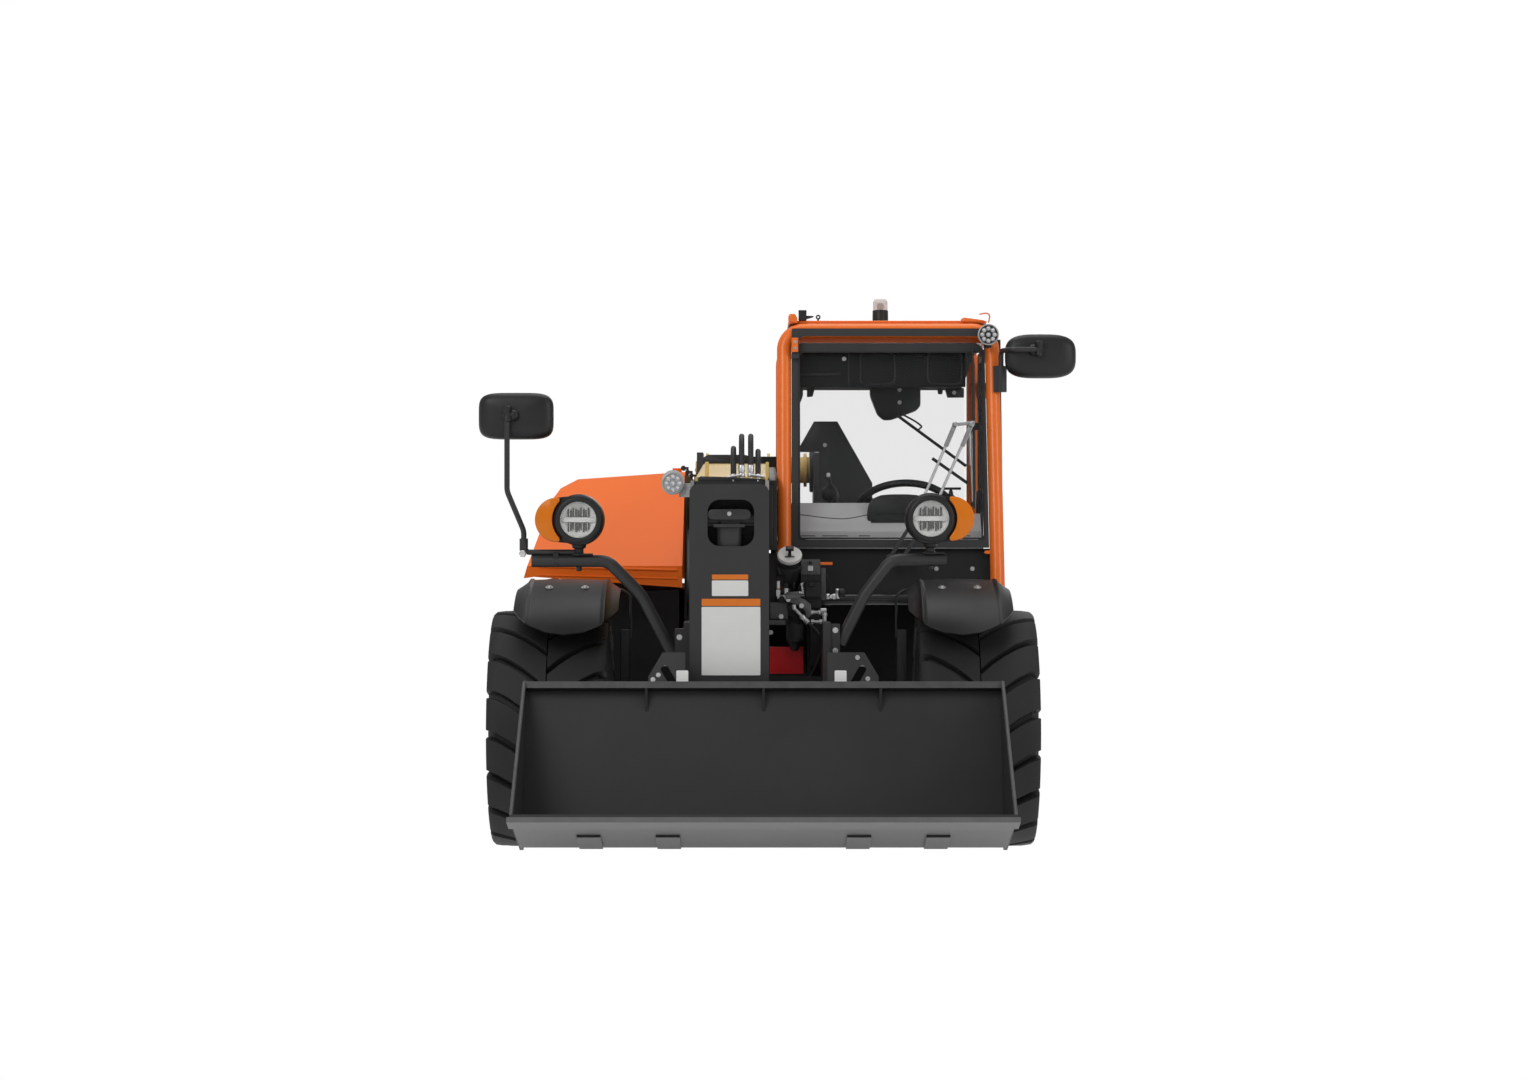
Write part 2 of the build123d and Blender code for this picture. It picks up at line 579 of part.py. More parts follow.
def cab_frame():
    """Bent tube frame: raked front hoop, upright rear hoop, roof rails and sills."""
    left, right = CAB_LEFT, CAB_RIGHT
    front = [(left, CAB_FRONT_FOOT, CAB_SILL), (left, CAB_FRONT_TOP, CAB_TOP),
             (right, CAB_FRONT_TOP, CAB_TOP), (right + CAB_SPLAY, CAB_FRONT_FOOT, CAB_SILL)]
    rear_z = (960.0, CAB_FLOOR)
    rear = [(left, CAB_REAR, rear_z[0]), (left, CAB_REAR, CAB_TOP), (right, CAB_REAR, CAB_TOP),
            (right, CAB_REAR, rear_z[1])]
    pieces = [pipe(front, [70, 70], CAB_TUBE), pipe(rear, [70, 70], CAB_TUBE)]
    for x in (left, right):
        inset = x + math.copysign(20, (left + right) / 2 - x)
        pieces.append(rod((inset, CAB_FRONT_TOP, CAB_TOP - 20), (inset, CAB_REAR, CAB_TOP - 20), CAB_TUBE))
    foot = CAB_SILL + 25
    pieces.append(rod((left, CAB_FRONT_FOOT, foot), (right + CAB_SPLAY, CAB_FRONT_FOOT, foot), 20))
    pieces.append(block((left + 20, right - 20), (458, 486), (1724, 1747)))
    for z in (620.0, 1600.0):
        pieces.append(block((right, DOOR_X[0] + 2), (1458, 1474), (z - 30, z + 30)))
        hinge = rod((DOOR_HINGE[0], DOOR_HINGE[1], z - 30), (DOOR_HINGE[0], DOOR_HINGE[1], z - 6), 11)
        reach = (DOOR_HINGE[1] + 2, DOOR_HINGE[1] + 11)
        link = block((DOOR_X[0] + 1, DOOR_HINGE[0]), reach, (z - 30, z - 6))
        pin = rod((DOOR_HINGE[0], DOOR_HINGE[1], z - 10), (DOOR_HINGE[0], DOOR_HINGE[1], z + 26), 5)
        pieces += [hinge, link, pin]
    return join(*pieces)


def cab_tub():
    """Lower body of the cab: front panel, shelf over the wheel, toe wall, floor and walls."""
    wall = 20.0
    left, right = CAB_LEFT - 10, CAB_OUTER - 6
    back = CAB_REAR - 25
    start = cab_post_y(CAB_WAIST) + 27
    foot, head = cab_post_y(CAB_SILL) + 27, cab_post_y(CAB_WAIST) + 27
    slope = ((foot, CAB_SILL), (head, CAB_WAIST), (head + wall, CAB_WAIST), (foot + wall, CAB_SILL))
    front = side_plate(slope, (left, right))
    shelf = block((CAB_INNER, right), (foot + 5, 575), (CAB_SILL, CAB_SILL + wall))
    toe = block((CAB_INNER, right), (555, 575), (CAB_FLOOR - wall, CAB_SILL + wall))
    floor = block((CAB_INNER, right), (555, back), (CAB_FLOOR - wall, CAB_FLOOR))
    inner = block((CAB_INNER, CAB_INNER + wall), (start, back), (CAB_SILL, 960))
    inner_low = block((CAB_INNER, CAB_INNER + wall), (555, back), (CAB_FLOOR, CAB_SILL + wall))
    ledge = block((left, CAB_INNER + wall), (start, back), (940, 960))
    upper = block((left, left + wall), (start + 14, back), (940, CAB_WAIST + 40))
    rear_low = block((CAB_INNER, CAB_RIGHT - 28), (back - wall, back), (CAB_FLOOR - wall, 1040))
    rear_high = block((left, CAB_INNER + wall), (back - wall, back), (940, 1040))
    outer = block((right - wall, right), (start, 575), (CAB_SILL, 900))
    return join(front, shelf, toe, floor, inner, inner_low, ledge, upper, rear_low, rear_high, outer)


def cab_roof():
    """Roof panel over the tubes."""
    points = ((CAB_LEFT - 5, CAB_FRONT_TOP), (CAB_RIGHT + 5, CAB_FRONT_TOP), (CAB_RIGHT + 5, CAB_REAR),
              (CAB_LEFT - 5, CAB_REAR))
    return top_plate(points, (CAB_TOP + CAB_TUBE, CAB_TOP + CAB_TUBE + 20), 40)


def cab_headliner():
    """Moulded lining under the roof, deeper at the back, with two shallow recesses."""
    lower = ((CAB_FRONT_TOP + 45, 1705), (CAB_REAR - 240, 1615), (CAB_REAR - 45, 1600))
    upper = ((CAB_REAR - 45, 1618), (CAB_REAR - 240, 1633), (CAB_FRONT_TOP + 45, 1723))
    lining = side_plate((*lower, *upper), (CAB_LEFT + 50, CAB_RIGHT - 50))
    for x in (350, 570):
        pocket = block((x - 75, x + 75), (700, 1080), (1500, 1800))
        shell = side_plate(((700, 1600), (1080, 1600), (1080, 1652), (700, 1686)), (x - 75, x + 75))
        lining -= pocket & shell
    return lining


def raked_slab(z, x, y):
    """Slab parallel to the raked front posts, between two offsets behind their centre line."""
    low, high = cab_post_y(z[0]), cab_post_y(z[1])
    return side_plate(((low + y[0], z[0]), (high + y[0], z[1]), (high + y[1], z[1]), (low + y[1], z[0])), x)


def screen_frame():
    """Dark frame between the front posts, with the windscreen's opening."""
    left, right = CAB_LEFT + CAB_TUBE + 1, CAB_RIGHT - CAB_TUBE - 1
    low, high = CAB_WAIST + 3, CAB_TOP - CAB_TUBE - 20
    slab = raked_slab((low, high), (left, right + CAB_SPLAY), (-7, 7))
    deep = (100, 700)
    splayed = right + 8
    outside = front_plate(((left, low - 5), (splayed, low - 5), (right, high), (left, high)), deep, 42)
    outside += front_plate(((left, low), (splayed, low), (splayed - 1, low + 80), (left, low + 80)), deep)
    window = front_plate(((left + 25, low + 28), (right - 6, low + 28), (right - 6, high - 30),
                          (left + 25, high - 30)), (90, 710), 30)
    return (slab & outside) - window


def cab_glass():
    """Windscreen, window beside the boom and rear window."""
    thick = 6.0
    screen = raked_slab((CAB_WAIST + 15, CAB_TOP - 60), (CAB_LEFT + 35, CAB_RIGHT - 27), (7.5, 7.5 + thick))
    side = block((CAB_LEFT - 6, CAB_LEFT), (480, CAB_REAR - 35), (1042, 1722))
    rear = block((CAB_LEFT + 30, CAB_RIGHT - 30), (CAB_REAR + 26, CAB_REAR + 32), (1045, 1730))
    return apart(screen, side, rear)


def door_frame():
    """Glazed door: one frame with the window cut, low panel and hinge barrels."""
    points = ((600, 440), (1425, 440), (1425, 1735), (455, 1735), (300, 915), (600, 905))
    window = ((640, 940), (1385, 940), (1385, 1695), (490, 1695), (350, 950), (640, 940))
    frame = side_plate(points, DOOR_X) - side_plate(window[:5], (DOOR_X[0] - 1, DOOR_X[1] + 1))
    low = side_plate(((650, 500), (1375, 500), (1375, 860), (650, 860)), (DOOR_X[0] - 1, DOOR_X[1] + 1))
    frame -= low
    pieces = [frame]
    for z in (620.0, 1600.0):
        barrel_ring = rod((*DOOR_HINGE, z - 5.5), (*DOOR_HINGE, z + 28), 11, 5.05)
        leaf = block((DOOR_X[0] + 12, DOOR_X[1]), (1420, DOOR_HINGE[1] - 8), (z - 5.5, z + 28))
        pieces += [barrel_ring, leaf]
    return join(*pieces)


def door_glass():
    x = (DOOR_X[0] + 7, DOOR_X[0] + 13)
    upper = side_plate(((640, 940), (1385, 940), (1385, 1695), (490, 1695), (350, 950)), x)
    lower = block(x, (650, 1375), (500, 860))
    return apart(upper, lower)


def dash_panel():
    """Console under the windscreen: a high part on the boom's side and a lower one under the wheel."""
    high = ((345, 1000), (540, 1000), (560, 1110), (500, 1160), (430, 1160), (352, 1060))
    low = ((345, 1000), (540, 1000), (560, 1080), (480, 1122), (420, 1122), (352, 1060))
    return join(side_plate(high, (CAB_LEFT + 30, 375)), side_plate(low, (375, CAB_RIGHT - 40)))


WHEEL_HUB = (504.0, 640.0, 1135.0)     # steering wheel's centre, X, Y, Z
WHEEL_LEAN = 35.0


def cab_controls():
    """Steering column with its cowl, pedals, and the joystick on its console beside the seat."""
    x, y, z = WHEEL_HUB
    lean = math.radians(WHEEL_LEAN)
    down = Vector(0, -math.sin(lean), -math.cos(lean))
    top = Vector(x, y, z) + down * 24
    foot = Vector(x, y, z) + down * 190
    side = ((440, 1090), (560, 1050), (560, 1105), (530, 1150), (450, 1150))
    cowl = side_plate(side, (x - 125, x + 125), 8)
    column = join(rod(tuple(foot), tuple(top), 32), cowl) - dash_panel()
    console = block((257, 288), (850, 1240), (CAB_FLOOR, 1010))
    stick = pipe([(272, 890, 1010), (272, 886, 1090), (252, 864, 1180)], [60], 9)
    stick += Pos(249, 862, 1190) * Sphere(26)
    pedals = [block((px - 40, px + 40), (577, 589), (500, 590)) for px in (420, 600)]
    return apart(column, join(console, stick), *pedals)


def steering_wheel():
    lean = Pos(*WHEEL_HUB) * Rot(-WHEEL_LEAN, 0, 0)
    ring = Torus(168, 13)
    hub = Pos(0, 0, -10) * Cylinder(42, 28)
    spokes = [Rot(0, 0, angle) * Pos(85, 0, -6) * Box(150, 22, 8) for angle in (90, 210, 330)]
    return lean * join(ring, hub, *spokes)


def seat_base():
    """Seat box with the folded suspension cover on top."""
    box = block((320, 670), (930, 1330), (CAB_FLOOR, 540))
    folds = [block((335 + step, 655 - step), (945 + step, 1315 - step), (z, z + 20))
             for z, step in ((540, 0), (560, 12), (580, 0), (600, 12))]
    return join(box, *folds)


def seat_cushions():
    """Plain solids for the seat's cushion and backrest."""
    cushion = fillet(block((290, 700), (880, 1290), (622, 720)).edges().filter_by(Axis.Y), 30)
    back = side_plate(((1260, 722), (1380, 722), (1440, 1180), (1350, 1190)), (300, 690))
    return apart(cushion, back)


def guard_plate():
    """Tapering guard behind the cab."""
    points = ((59, 1000), (419, 1000), (419, 1249), (284, 1486), (194, 1486), (59, 1249))
    plate = front_plate(points, (1560, 1568))
    foot = block((221, 419), (1540, 1568), (950, 1000))
    post = block((221, 260), (1540, 1620), (600, 950))
    return join(plate, foot, post)


# Hood side ------------------------------------------------------------------------------------
def hood_section(inset):
    """Outline of the hood seen from the front, drawn in by the wall where asked."""
    return ((-282, 865 - 60 * (inset > 0)), (-797 + inset, 902 - 60 * (inset > 0)), (-832 + inset, 897),
            (-752 + inset, 1174), (-725 + inset * 0.6, 1215 - inset * 0.6),
            (-665, 1248 - inset), (-282, 1275 - inset))


def hood_side(inset):
    """Outline of the hood seen from the side: sloping nose, level back."""
    low = 850 - 100 * (inset > 0)
    first, last = HOOD_Y
    return ((first + inset, low), (last - inset, low), (last - inset, 1120), (last - 120 - inset, 1300),
            (760 + inset, 1300), (first + inset, 940))


def hood():
    """Hood shell: front, top, outer side and tail, open below and beside the boom."""
    outer = front_plate(hood_section(0.0), HOOD_Y) & side_plate(hood_side(0.0), (-900, -282))
    inner = front_plate(hood_section(HOOD_WALL), HOOD_Y) & side_plate(hood_side(HOOD_WALL), (-900, -282))
    shell = outer - inner
    for row in range(LOUVRES):
        z = LOUVRE_LOW + row * LOUVRE_PITCH
        shell -= block((-900, -700), (1500, 2050), (z, z + LOUVRE_GAP))
        shell -= block((-660, -400), (HOOD_Y[1] - 40, HOOD_Y[1] + 10), (z + 10, z + 10 + LOUVRE_GAP))
    pieces = [shell]
    x, z = HOOD_HINGE
    for y in HOOD_HINGES_Y:
        pieces.append(rod((x, y, z), (x, y + 40, z), 9, 5.05))
        pieces.append(block((x - 40, x - 7), (y, y + 40), (1264, z)))
    return join(*pieces)


def engine_wall():
    """Upright wall between the boom and the engine, with the hood's hinge pins on top."""
    x, z = HOOD_HINGE
    wall_x = (-281, -273)
    pieces = [side_plate(((560, 700), (2600, 700), (2600, 1262), (620, 1262)), wall_x)]
    for y in HOOD_HINGES_Y:
        pieces.append(block((wall_x[0], wall_x[1]), (y - 31, y - 1), (1255, z)))
        pieces.append(rod((x, y - 31, z), (x, y - 1, z), 9))
        pieces.append(block((x, wall_x[1]), (y - 31, y - 1), (z - 4, z + 4)))
        pieces.append(rod((x, y - 10, z), (x, y + 38, z), 5))
    foot = block((-281, -262), (1590, 2500), (700, 712))
    return join(*pieces, foot)


def engine_block():
    return block((-740, -320), (1000, 1570), (452, 1100))


def side_tank():
    points = ((-795, 480), (-760, 430), (-300, 430), (-300, 850), (-795, 850))
    return front_plate(points, (575, 965))


def side_decks():
    """Tray that carries the engine, the deck over the rear wheel beside it and the one behind the cab."""
    inner = -282
    tray = block((-800, -261), (970, 1590), (440, 452))
    side = block((-800, -788), (970, 1590), (440, 885))
    deck = block((-800, inner), (1590, 2640), (828, 840))
    wall = block((-788, inner), (1578, 1590), (452, 840))
    right = block((PLATE_RIGHT[1], 790), (1640, TAIL_Y - 10), (828, 840))
    skirt = block((778, 790), (1640, TAIL_Y - 10), (800, 829))
    box = block((PLATE_RIGHT[1], 640), (2230, TAIL_Y - 40), (839, 1010))
    box = chamfer(box.faces().sort_by(Axis.Z)[-1].edges(), 18)
    return apart(join(tray, side, deck, wall), join(right, skirt, box))


# Lamps, mirrors and small fittings --------------------------------------------------------------
LAMP_Y = -360.0
LAMP_TUBE = 20.0
LAMP_ARM_Z = {-1: 961.0, 1: 965.0}


def lamp_arms():
    """Two bent tubes that carry the headlamps, on brackets at the nose."""
    high_left, high_right = LAMP_ARM_Z[-1], LAMP_ARM_Z[1]
    left = pipe([(-760, LAMP_Y, high_left), (-510, LAMP_Y, high_left), (-400, LAMP_Y, 850),
                 (-290, LAMP_Y, 640)], [60, 200], LAMP_TUBE)
    right = pipe([(600, LAMP_Y, high_right), (420, LAMP_Y, high_right), (330, LAMP_Y, 850),
                  (250, LAMP_Y, 690)], [60, 200], LAMP_TUBE)
    foot_left = block((-290, PLATE_LEFT[0]), (LAMP_Y - 30, LAMP_Y + 30), (600, 740))
    foot_right = block((PLATE_RIGHT[1], 250), (LAMP_Y - 30, LAMP_Y + 30), (640, 755))
    left -= block((PLATE_LEFT[0], 0), (LAMP_Y - 40, LAMP_Y + 40), (500, 800))
    right -= block((0, PLATE_RIGHT[1]), (LAMP_Y - 40, LAMP_Y + 40), (500, 800))
    return apart(join(left, foot_left), join(right, foot_right))


HEADLAMPS = ((-605.0, 1096.0, -1), (547.0, 1100.0, 1))      # X, Z, side


LAMP_EAR = (70.0, 73.0)            # the indicator's centre outboard of the lamp's, and its radius


def lamp_ear(x, z, side, y):
    """Rounded body between the lamp's circle and the indicator's, between two places along Y."""
    out, radius = LAMP_EAR
    sketch = Circle(80) + Pos(side * out, 0) * Circle(radius)
    sketch += make_face(Polyline((0, -80), (side * out, -radius), (side * out, radius), (0, 80), close=True))
    body = extrude(sketch, amount=y[1] - y[0])
    return Pos(x, y[1], z) * (Rot(90, 0, 0) * body)


def headlamp_housings():
    """Bowl-shaped shells with a deep rim, widened outboard for the indicator, each on a stem."""
    bowl = ((0, 72), (42, 68), (72, 44), (82, 4), (82, -50), (76, -56), (67, -50), (67, -6), (0, -6))
    pieces = []
    for x, z, side in HEADLAMPS:
        shell = Pos(x, LAMP_Y, z) * revolve(make_face(Polyline(*bowl, close=True)), Axis.Y, 360)
        ear = lamp_ear(x, z, side, (LAMP_Y - 28, LAMP_Y + 34))
        ear = fillet(ear.faces().sort_by(Axis.Y)[-1].edges(), 14)
        ear -= rod((x, LAMP_Y - 60, z), (x, LAMP_Y - 6, z), 67)
        stem = rod((x, LAMP_Y, LAMP_ARM_Z[side] + LAMP_TUBE), (x, LAMP_Y, z - 72), 14)
        pieces.append(join(shell, ear, stem))
    return apart(*pieces)


def headlamp_lenses():
    """Slightly domed front glasses."""
    dome = ((0, -54), (40, -51), (66, -42), (66, -7), (0, -7))
    face = make_face(Polyline(*dome, close=True))
    return apart(*[Pos(x, LAMP_Y, z) * revolve(face, Axis.Y, 360) for x, z, _ in HEADLAMPS])


def indicator_lenses():
    """Amber crescents on the outboard ends."""
    out, radius = LAMP_EAR
    pieces = []
    for x, z, side in HEADLAMPS:
        middle = x + side * out
        disc = rod((middle, LAMP_Y - 54, z), (middle, LAMP_Y - 28, z), radius - 2)
        disc = fillet(disc.faces().sort_by(Axis.Y)[0].edges(), 16)
        pieces.append(disc - rod((x, LAMP_Y - 90, z), (x, LAMP_Y + 90, z), 95))
    return apart(*pieces)


MIRRORS = (                        # X, front Y and Z of each head, X and Z of its ball
    (-815.0, -340.0, 1438.0, -841.0, 1440.0),
    (963.0, 280.0, 1669.0, 955.0, 1690.0),
)


def mirror_arms():
    """Bent bars that end in a ball in front of each mirror's shell."""
    (_, left_y, _, left_x, left_z), (_, right_y, _, right_x, right_z) = MIRRORS
    bar_z = LAMP_ARM_Z[-1] + LAMP_TUBE + 9
    foot = left_x + 55
    left = pipe([(-612, LAMP_Y, bar_z), (foot, LAMP_Y, bar_z), (foot, LAMP_Y, 1060), (left_x, LAMP_Y, 1190),
                 (left_x, LAMP_Y, left_z)], [20, 60, 60], 9)
    left += rod((foot, LAMP_Y, 995), (foot, LAMP_Y, 1035), 14)
    left += Pos(left_x, left_y - 8, left_z) * Sphere(17)
    left -= rod((HEADLAMPS[0][0], LAMP_Y, 900), (HEADLAMPS[0][0], LAMP_Y, 1100), 14)
    arm_x, arm_y = 829, 358
    right = pipe([(arm_x, arm_y, 1580), (arm_x, arm_y, right_z), (arm_x + 30, right_y - 18, right_z),
                  (right_x, right_y - 18, right_z)], [20, 20], 9)
    right += Pos(right_x, right_y - 8, right_z) * Sphere(17)
    foot = (CAB_RIGHT + CAB_SPLAY, CAB_FRONT_FOOT, CAB_SILL)
    post = rod((CAB_RIGHT, CAB_FRONT_TOP, CAB_TOP), foot, CAB_TUBE)
    clamp = block((802, 830), (344, 372), (1546, 1637)) - post
    clamp += rod((arm_x, 358, 1546), (arm_x, 358, 1637), 20) - post
    return apart(left - mirror_shell(*MIRRORS[0][:3]), join(right - mirror_shell(*MIRRORS[1][:3]), clamp))


def mirror_shell(x, y, z):
    """Rounded shell whose front is well domed."""
    wide, high = MIRROR_HALF
    points = ((x - wide, z - high), (x + wide, z - high), (x + wide, z + high), (x - wide, z + high))
    shell = front_plate(points, (y, y + 52), 48)
    return fillet(shell.faces().sort_by(Axis.Y)[0].edges(), 34)


def mirror_heads():
    return apart(*[mirror_shell(x, y, z) for x, y, z, _, _ in MIRRORS])


def cab_lamps():
    """Round lamp at the cab's front corner and the beacon on the roof."""
    lamp = rod((783, 330, 1745), (783, 372, 1745), 36)
    lamp += rod((783, 372, 1745), (783, 386, 1747), 10)
    x, y, z = BEACON
    profile = ((0, 0), (34, 0), (34, 8), (28, 16), (28, 104), (20, 114), (0, 114))
    beacon = Pos(x, y, z) * (Rot(90, 0, 0) * revolve(make_face(Polyline(*profile, close=True)), Axis.Y, 360))
    return apart(lamp, beacon)


BEACON = (425.0, 950.0, CAB_TOP + CAB_TUBE + 20)


def boom_light():
    """Round lamp beside the boom's head, on a short bracket."""
    lamp = rod((-295, -440, 1222), (-295, -395, 1222), 36)
    return join(lamp, block((-275, HEAD_X[0]), (-425, -410), (1170, 1215)))


def valve_group():
    """Valve block, filter and tilted reservoir on a bracket with a shelf, between the boom and the cab."""
    body = front_plate(((47, 775), (163, 762), (163, 800), (110, 850), (47, 850)), (60, 150))
    solenoid = block((142, 197), (50, 120), (800, 886))
    box = block((128, 194), (60, 110), (886, 959))
    lean = math.radians(38)
    tank = rod((89, 105, 845), (89, 105, 900), 30)
    neck = rod((89, 105, 890), (89, 105 - 62 * math.sin(lean), 890 + 62 * math.cos(lean)), 38)
    cap = rod((89, 105 - 58 * math.sin(lean), 890 + 58 * math.cos(lean)),
              (89, 105 - 74 * math.sin(lean), 890 + 74 * math.cos(lean)), 43)
    filter_can = rod((107, 95, 690), (107, 95, 770), 31) + Cone(10, 31, 40).move(Location((107, 95, 672)))
    bracket = block((160, PLATE_RIGHT[0]), (80, 180), (600, 800)) + block((15, 165), (140, 180), (560, 572))
    bracket += block((150, 165), (140, 180), (560, 800))
    ports = [rod((x, 40, z), (x, 62, z), 10) for x, z in ((62, 830), (92, 800), (120, 790), (150, 778))]
    return join(body, solenoid, box, tank, neck, cap, filter_can, bracket, *ports)


def battery_box():
    """Red box on the valve bracket's shelf."""
    return block((21, 137), (141, 179), (572, 663))


# Writing the nodes ------------------------------------------------------------------------------
def nodes():
    """Every node's name and shape, in the machine frame."""
    table = {
        "chassis_plates": chassis_plates(),
        "chassis_walls": chassis_walls(),
        "axle_beams": axle_beams(),
        "counterweight": counterweight(),
        "rear_fittings": rear_fittings(),
        "engine_block": engine_block(),
        "side_decks": side_decks(),
        "engine_wall": engine_wall(),
        "side_tank": side_tank(),
        "hood": hood(),
        "cab_frame": cab_frame(),
        "cab_tub": cab_tub(),
        "cab_roof": cab_roof(),
        "cab_headliner": cab_headliner(),
        "screen_frame": screen_frame(),
        "cab_glass": cab_glass(),
        "door_frame": door_frame(),
        "door_glass": door_glass(),
        "dash_panel": dash_panel(),
        "cab_controls": cab_controls(),
        "steering_wheel": steering_wheel(),
        "seat_base": seat_base(),
        "seat_cushions": seat_cushions(),
        "guard_plate": guard_plate(),
        "boom_outer": boom_outer(),
        "boom_inner": boom_inner(),
        "boom_head": boom_head(),
        "head_plate": head_plate(),
        "boom_hoses": boom_hoses(),
        "lift_cylinder": lift_cylinder(),
        "lift_rod": lift_rod(),
        "tilt_cylinder": tilt_cylinder(),
        "tilt_rod": tilt_rod(),
        "coupler": coupler(),
        "bucket": bucket(),
        "cutting_edge": cutting_edge(),
        "lamp_arms": lamp_arms(),
        "headlamp_housings": headlamp_housings(),
        "headlamp_lenses": headlamp_lenses(),
        "indicator_lenses": indicator_lenses(),
        "mirror_arms": mirror_arms(),
        "mirror_heads": mirror_heads(),
        "cab_lamps": cab_lamps(),
        "boom_light": boom_light(),
        "valve_group": valve_group(),
        "battery_box": battery_box(),
        "mudguard_fl": mudguard(1),
        "mudguard_fr": mudguard(-1),
    }
    for name, x, y, side in WHEELS:
        table[f"knuckle_{name}"] = knuckle(x, y, side)
        table[f"tyre_{name}"] = tyre(x, y, side)
        table[f"rim_{name}"] = rim(x, y, side)
    return table


def main():
    os.makedirs("parts", exist_ok=True)
    for name, shape in nodes().items():
        export_step(Pos(*SHIFT) * shape, f"parts/{name}.step")


if __name__ == "__main__":
    main()
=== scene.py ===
import math

import bmesh
import bpy
from mathutils import Matrix, Vector
from mathutils.bvhtree import BVHTree


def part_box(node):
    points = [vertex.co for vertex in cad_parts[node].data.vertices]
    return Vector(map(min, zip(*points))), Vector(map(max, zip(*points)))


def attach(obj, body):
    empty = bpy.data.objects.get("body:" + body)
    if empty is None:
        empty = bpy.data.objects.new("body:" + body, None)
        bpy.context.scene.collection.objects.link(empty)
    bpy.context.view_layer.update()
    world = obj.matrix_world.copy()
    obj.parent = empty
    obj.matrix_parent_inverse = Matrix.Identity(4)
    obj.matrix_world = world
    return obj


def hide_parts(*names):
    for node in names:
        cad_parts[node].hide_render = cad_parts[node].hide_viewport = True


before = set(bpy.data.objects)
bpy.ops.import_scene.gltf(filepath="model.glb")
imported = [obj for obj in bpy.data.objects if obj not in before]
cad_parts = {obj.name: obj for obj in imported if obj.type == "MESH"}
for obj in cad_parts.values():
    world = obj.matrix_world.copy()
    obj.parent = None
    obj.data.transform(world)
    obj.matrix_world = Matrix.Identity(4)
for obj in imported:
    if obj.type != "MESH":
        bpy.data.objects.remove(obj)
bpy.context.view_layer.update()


# ---------------------------------------------------------------------------------------------
# Studio. A plain white room with a pale floor and large soft lamps, and a long lens at chest
# height in front of the machine. Places are given from the front axle's middle, in metres.
AXLE_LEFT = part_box("tyre_fl")
AXLE_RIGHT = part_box("tyre_fr")
MIDDLE_X = (AXLE_LEFT[1].x + AXLE_RIGHT[0].x) / 2
AXLE_Y = (AXLE_LEFT[0].y + AXLE_LEFT[1].y) / 2
CAMERA_DISTANCE = 11.5
CAMERA_HEIGHT = 1.03
CAMERA_LENS = 80.1


def at(x, y, z):
    """A place given from the middle of the front axle, on the floor, as a vector in the frame."""
    return Vector((MIDDLE_X + x, AXLE_Y + y, z))


camera = bpy.data.objects.new("camera", bpy.data.cameras.new("camera"))
camera.data.lens = CAMERA_LENS
camera.data.sensor_width = 36.0
camera.data.clip_end = 200.0
camera.location = at(0, -CAMERA_DISTANCE, CAMERA_HEIGHT)
camera.rotation_euler = (math.radians(90), 0, 0)
bpy.context.scene.collection.objects.link(camera)
bpy.context.scene.camera = camera
bpy.context.scene.view_settings.view_transform = "Standard"


def soft_lamp(name, place, size, power, aim):
    """A square soft box that points at a place."""
    lamp = bpy.data.lights.new(name, "AREA")
    lamp.shape = "SQUARE"
    lamp.size = size
    lamp.energy = power
    item = bpy.data.objects.new(name, lamp)
    item.location = at(*place)
    item.rotation_euler = (at(*aim) - at(*place)).to_track_quat("-Z", "Y").to_euler()
    item.visible_camera = False
    bpy.context.scene.collection.objects.link(item)


soft_lamp("key_lamp", (-3.5, -6.0, 5.0), 3.5, 150, (0, 0.5, 0.8))
soft_lamp("fill_lamp", (5.5, -4.0, 3.0), 3.0, 70, (0, 0.5, 0.8))
soft_lamp("top_lamp", (0.0, 1.0, 6.0), 4.0, 95, (0, 1.0, 0.0))
soft_lamp("back_lamp", (1.5, 8.0, 4.5), 3.5, 90, (0, 1.5, 1.0))

SKY = 0.42                         # how bright the room is to everything but the camera and clear panes
FLOOR_HALF = 60.0                  # half the floor's width


def wired(tree, nodes, wires, values=(), **known):
    """Fills a node tree from tables of nodes, of wires between their sockets, and of set values."""
    for name, kind, *setting in nodes:
        known[name] = tree.nodes.new(kind)
        if setting:
            setattr(known[name], *setting)
    for name, socket, value in values:
        known[name].inputs[socket].default_value = value
    for start, leaves, end, enters in wires:
        tree.links.new(known[start].outputs[leaves], known[end].inputs[enters])
    return known


world = bpy.data.worlds.new("white_room")
bpy.context.scene.world = world
world.use_nodes = True
world.node_tree.nodes.clear()
wired(world.node_tree,
      (("path", "ShaderNodeLightPath"), ("seen", "ShaderNodeMath", "operation", "MAXIMUM"),
       ("white", "ShaderNodeBackground"),
       ("dim", "ShaderNodeBackground"), ("blend", "ShaderNodeMixShader"),
       ("output", "ShaderNodeOutputWorld")),
      (("path", "Is Camera Ray", "seen", 0), ("path", "Is Transmission Ray", "seen", 1),
       ("seen", 0, "blend", "Fac"), ("dim", 0, "blend", 1), ("white", 0, "blend", 2),
       ("blend", 0, "output", "Surface")),
      (("white", "Color", (1, 1, 1, 1)), ("dim", "Color", (SKY, SKY, SKY, 1))))

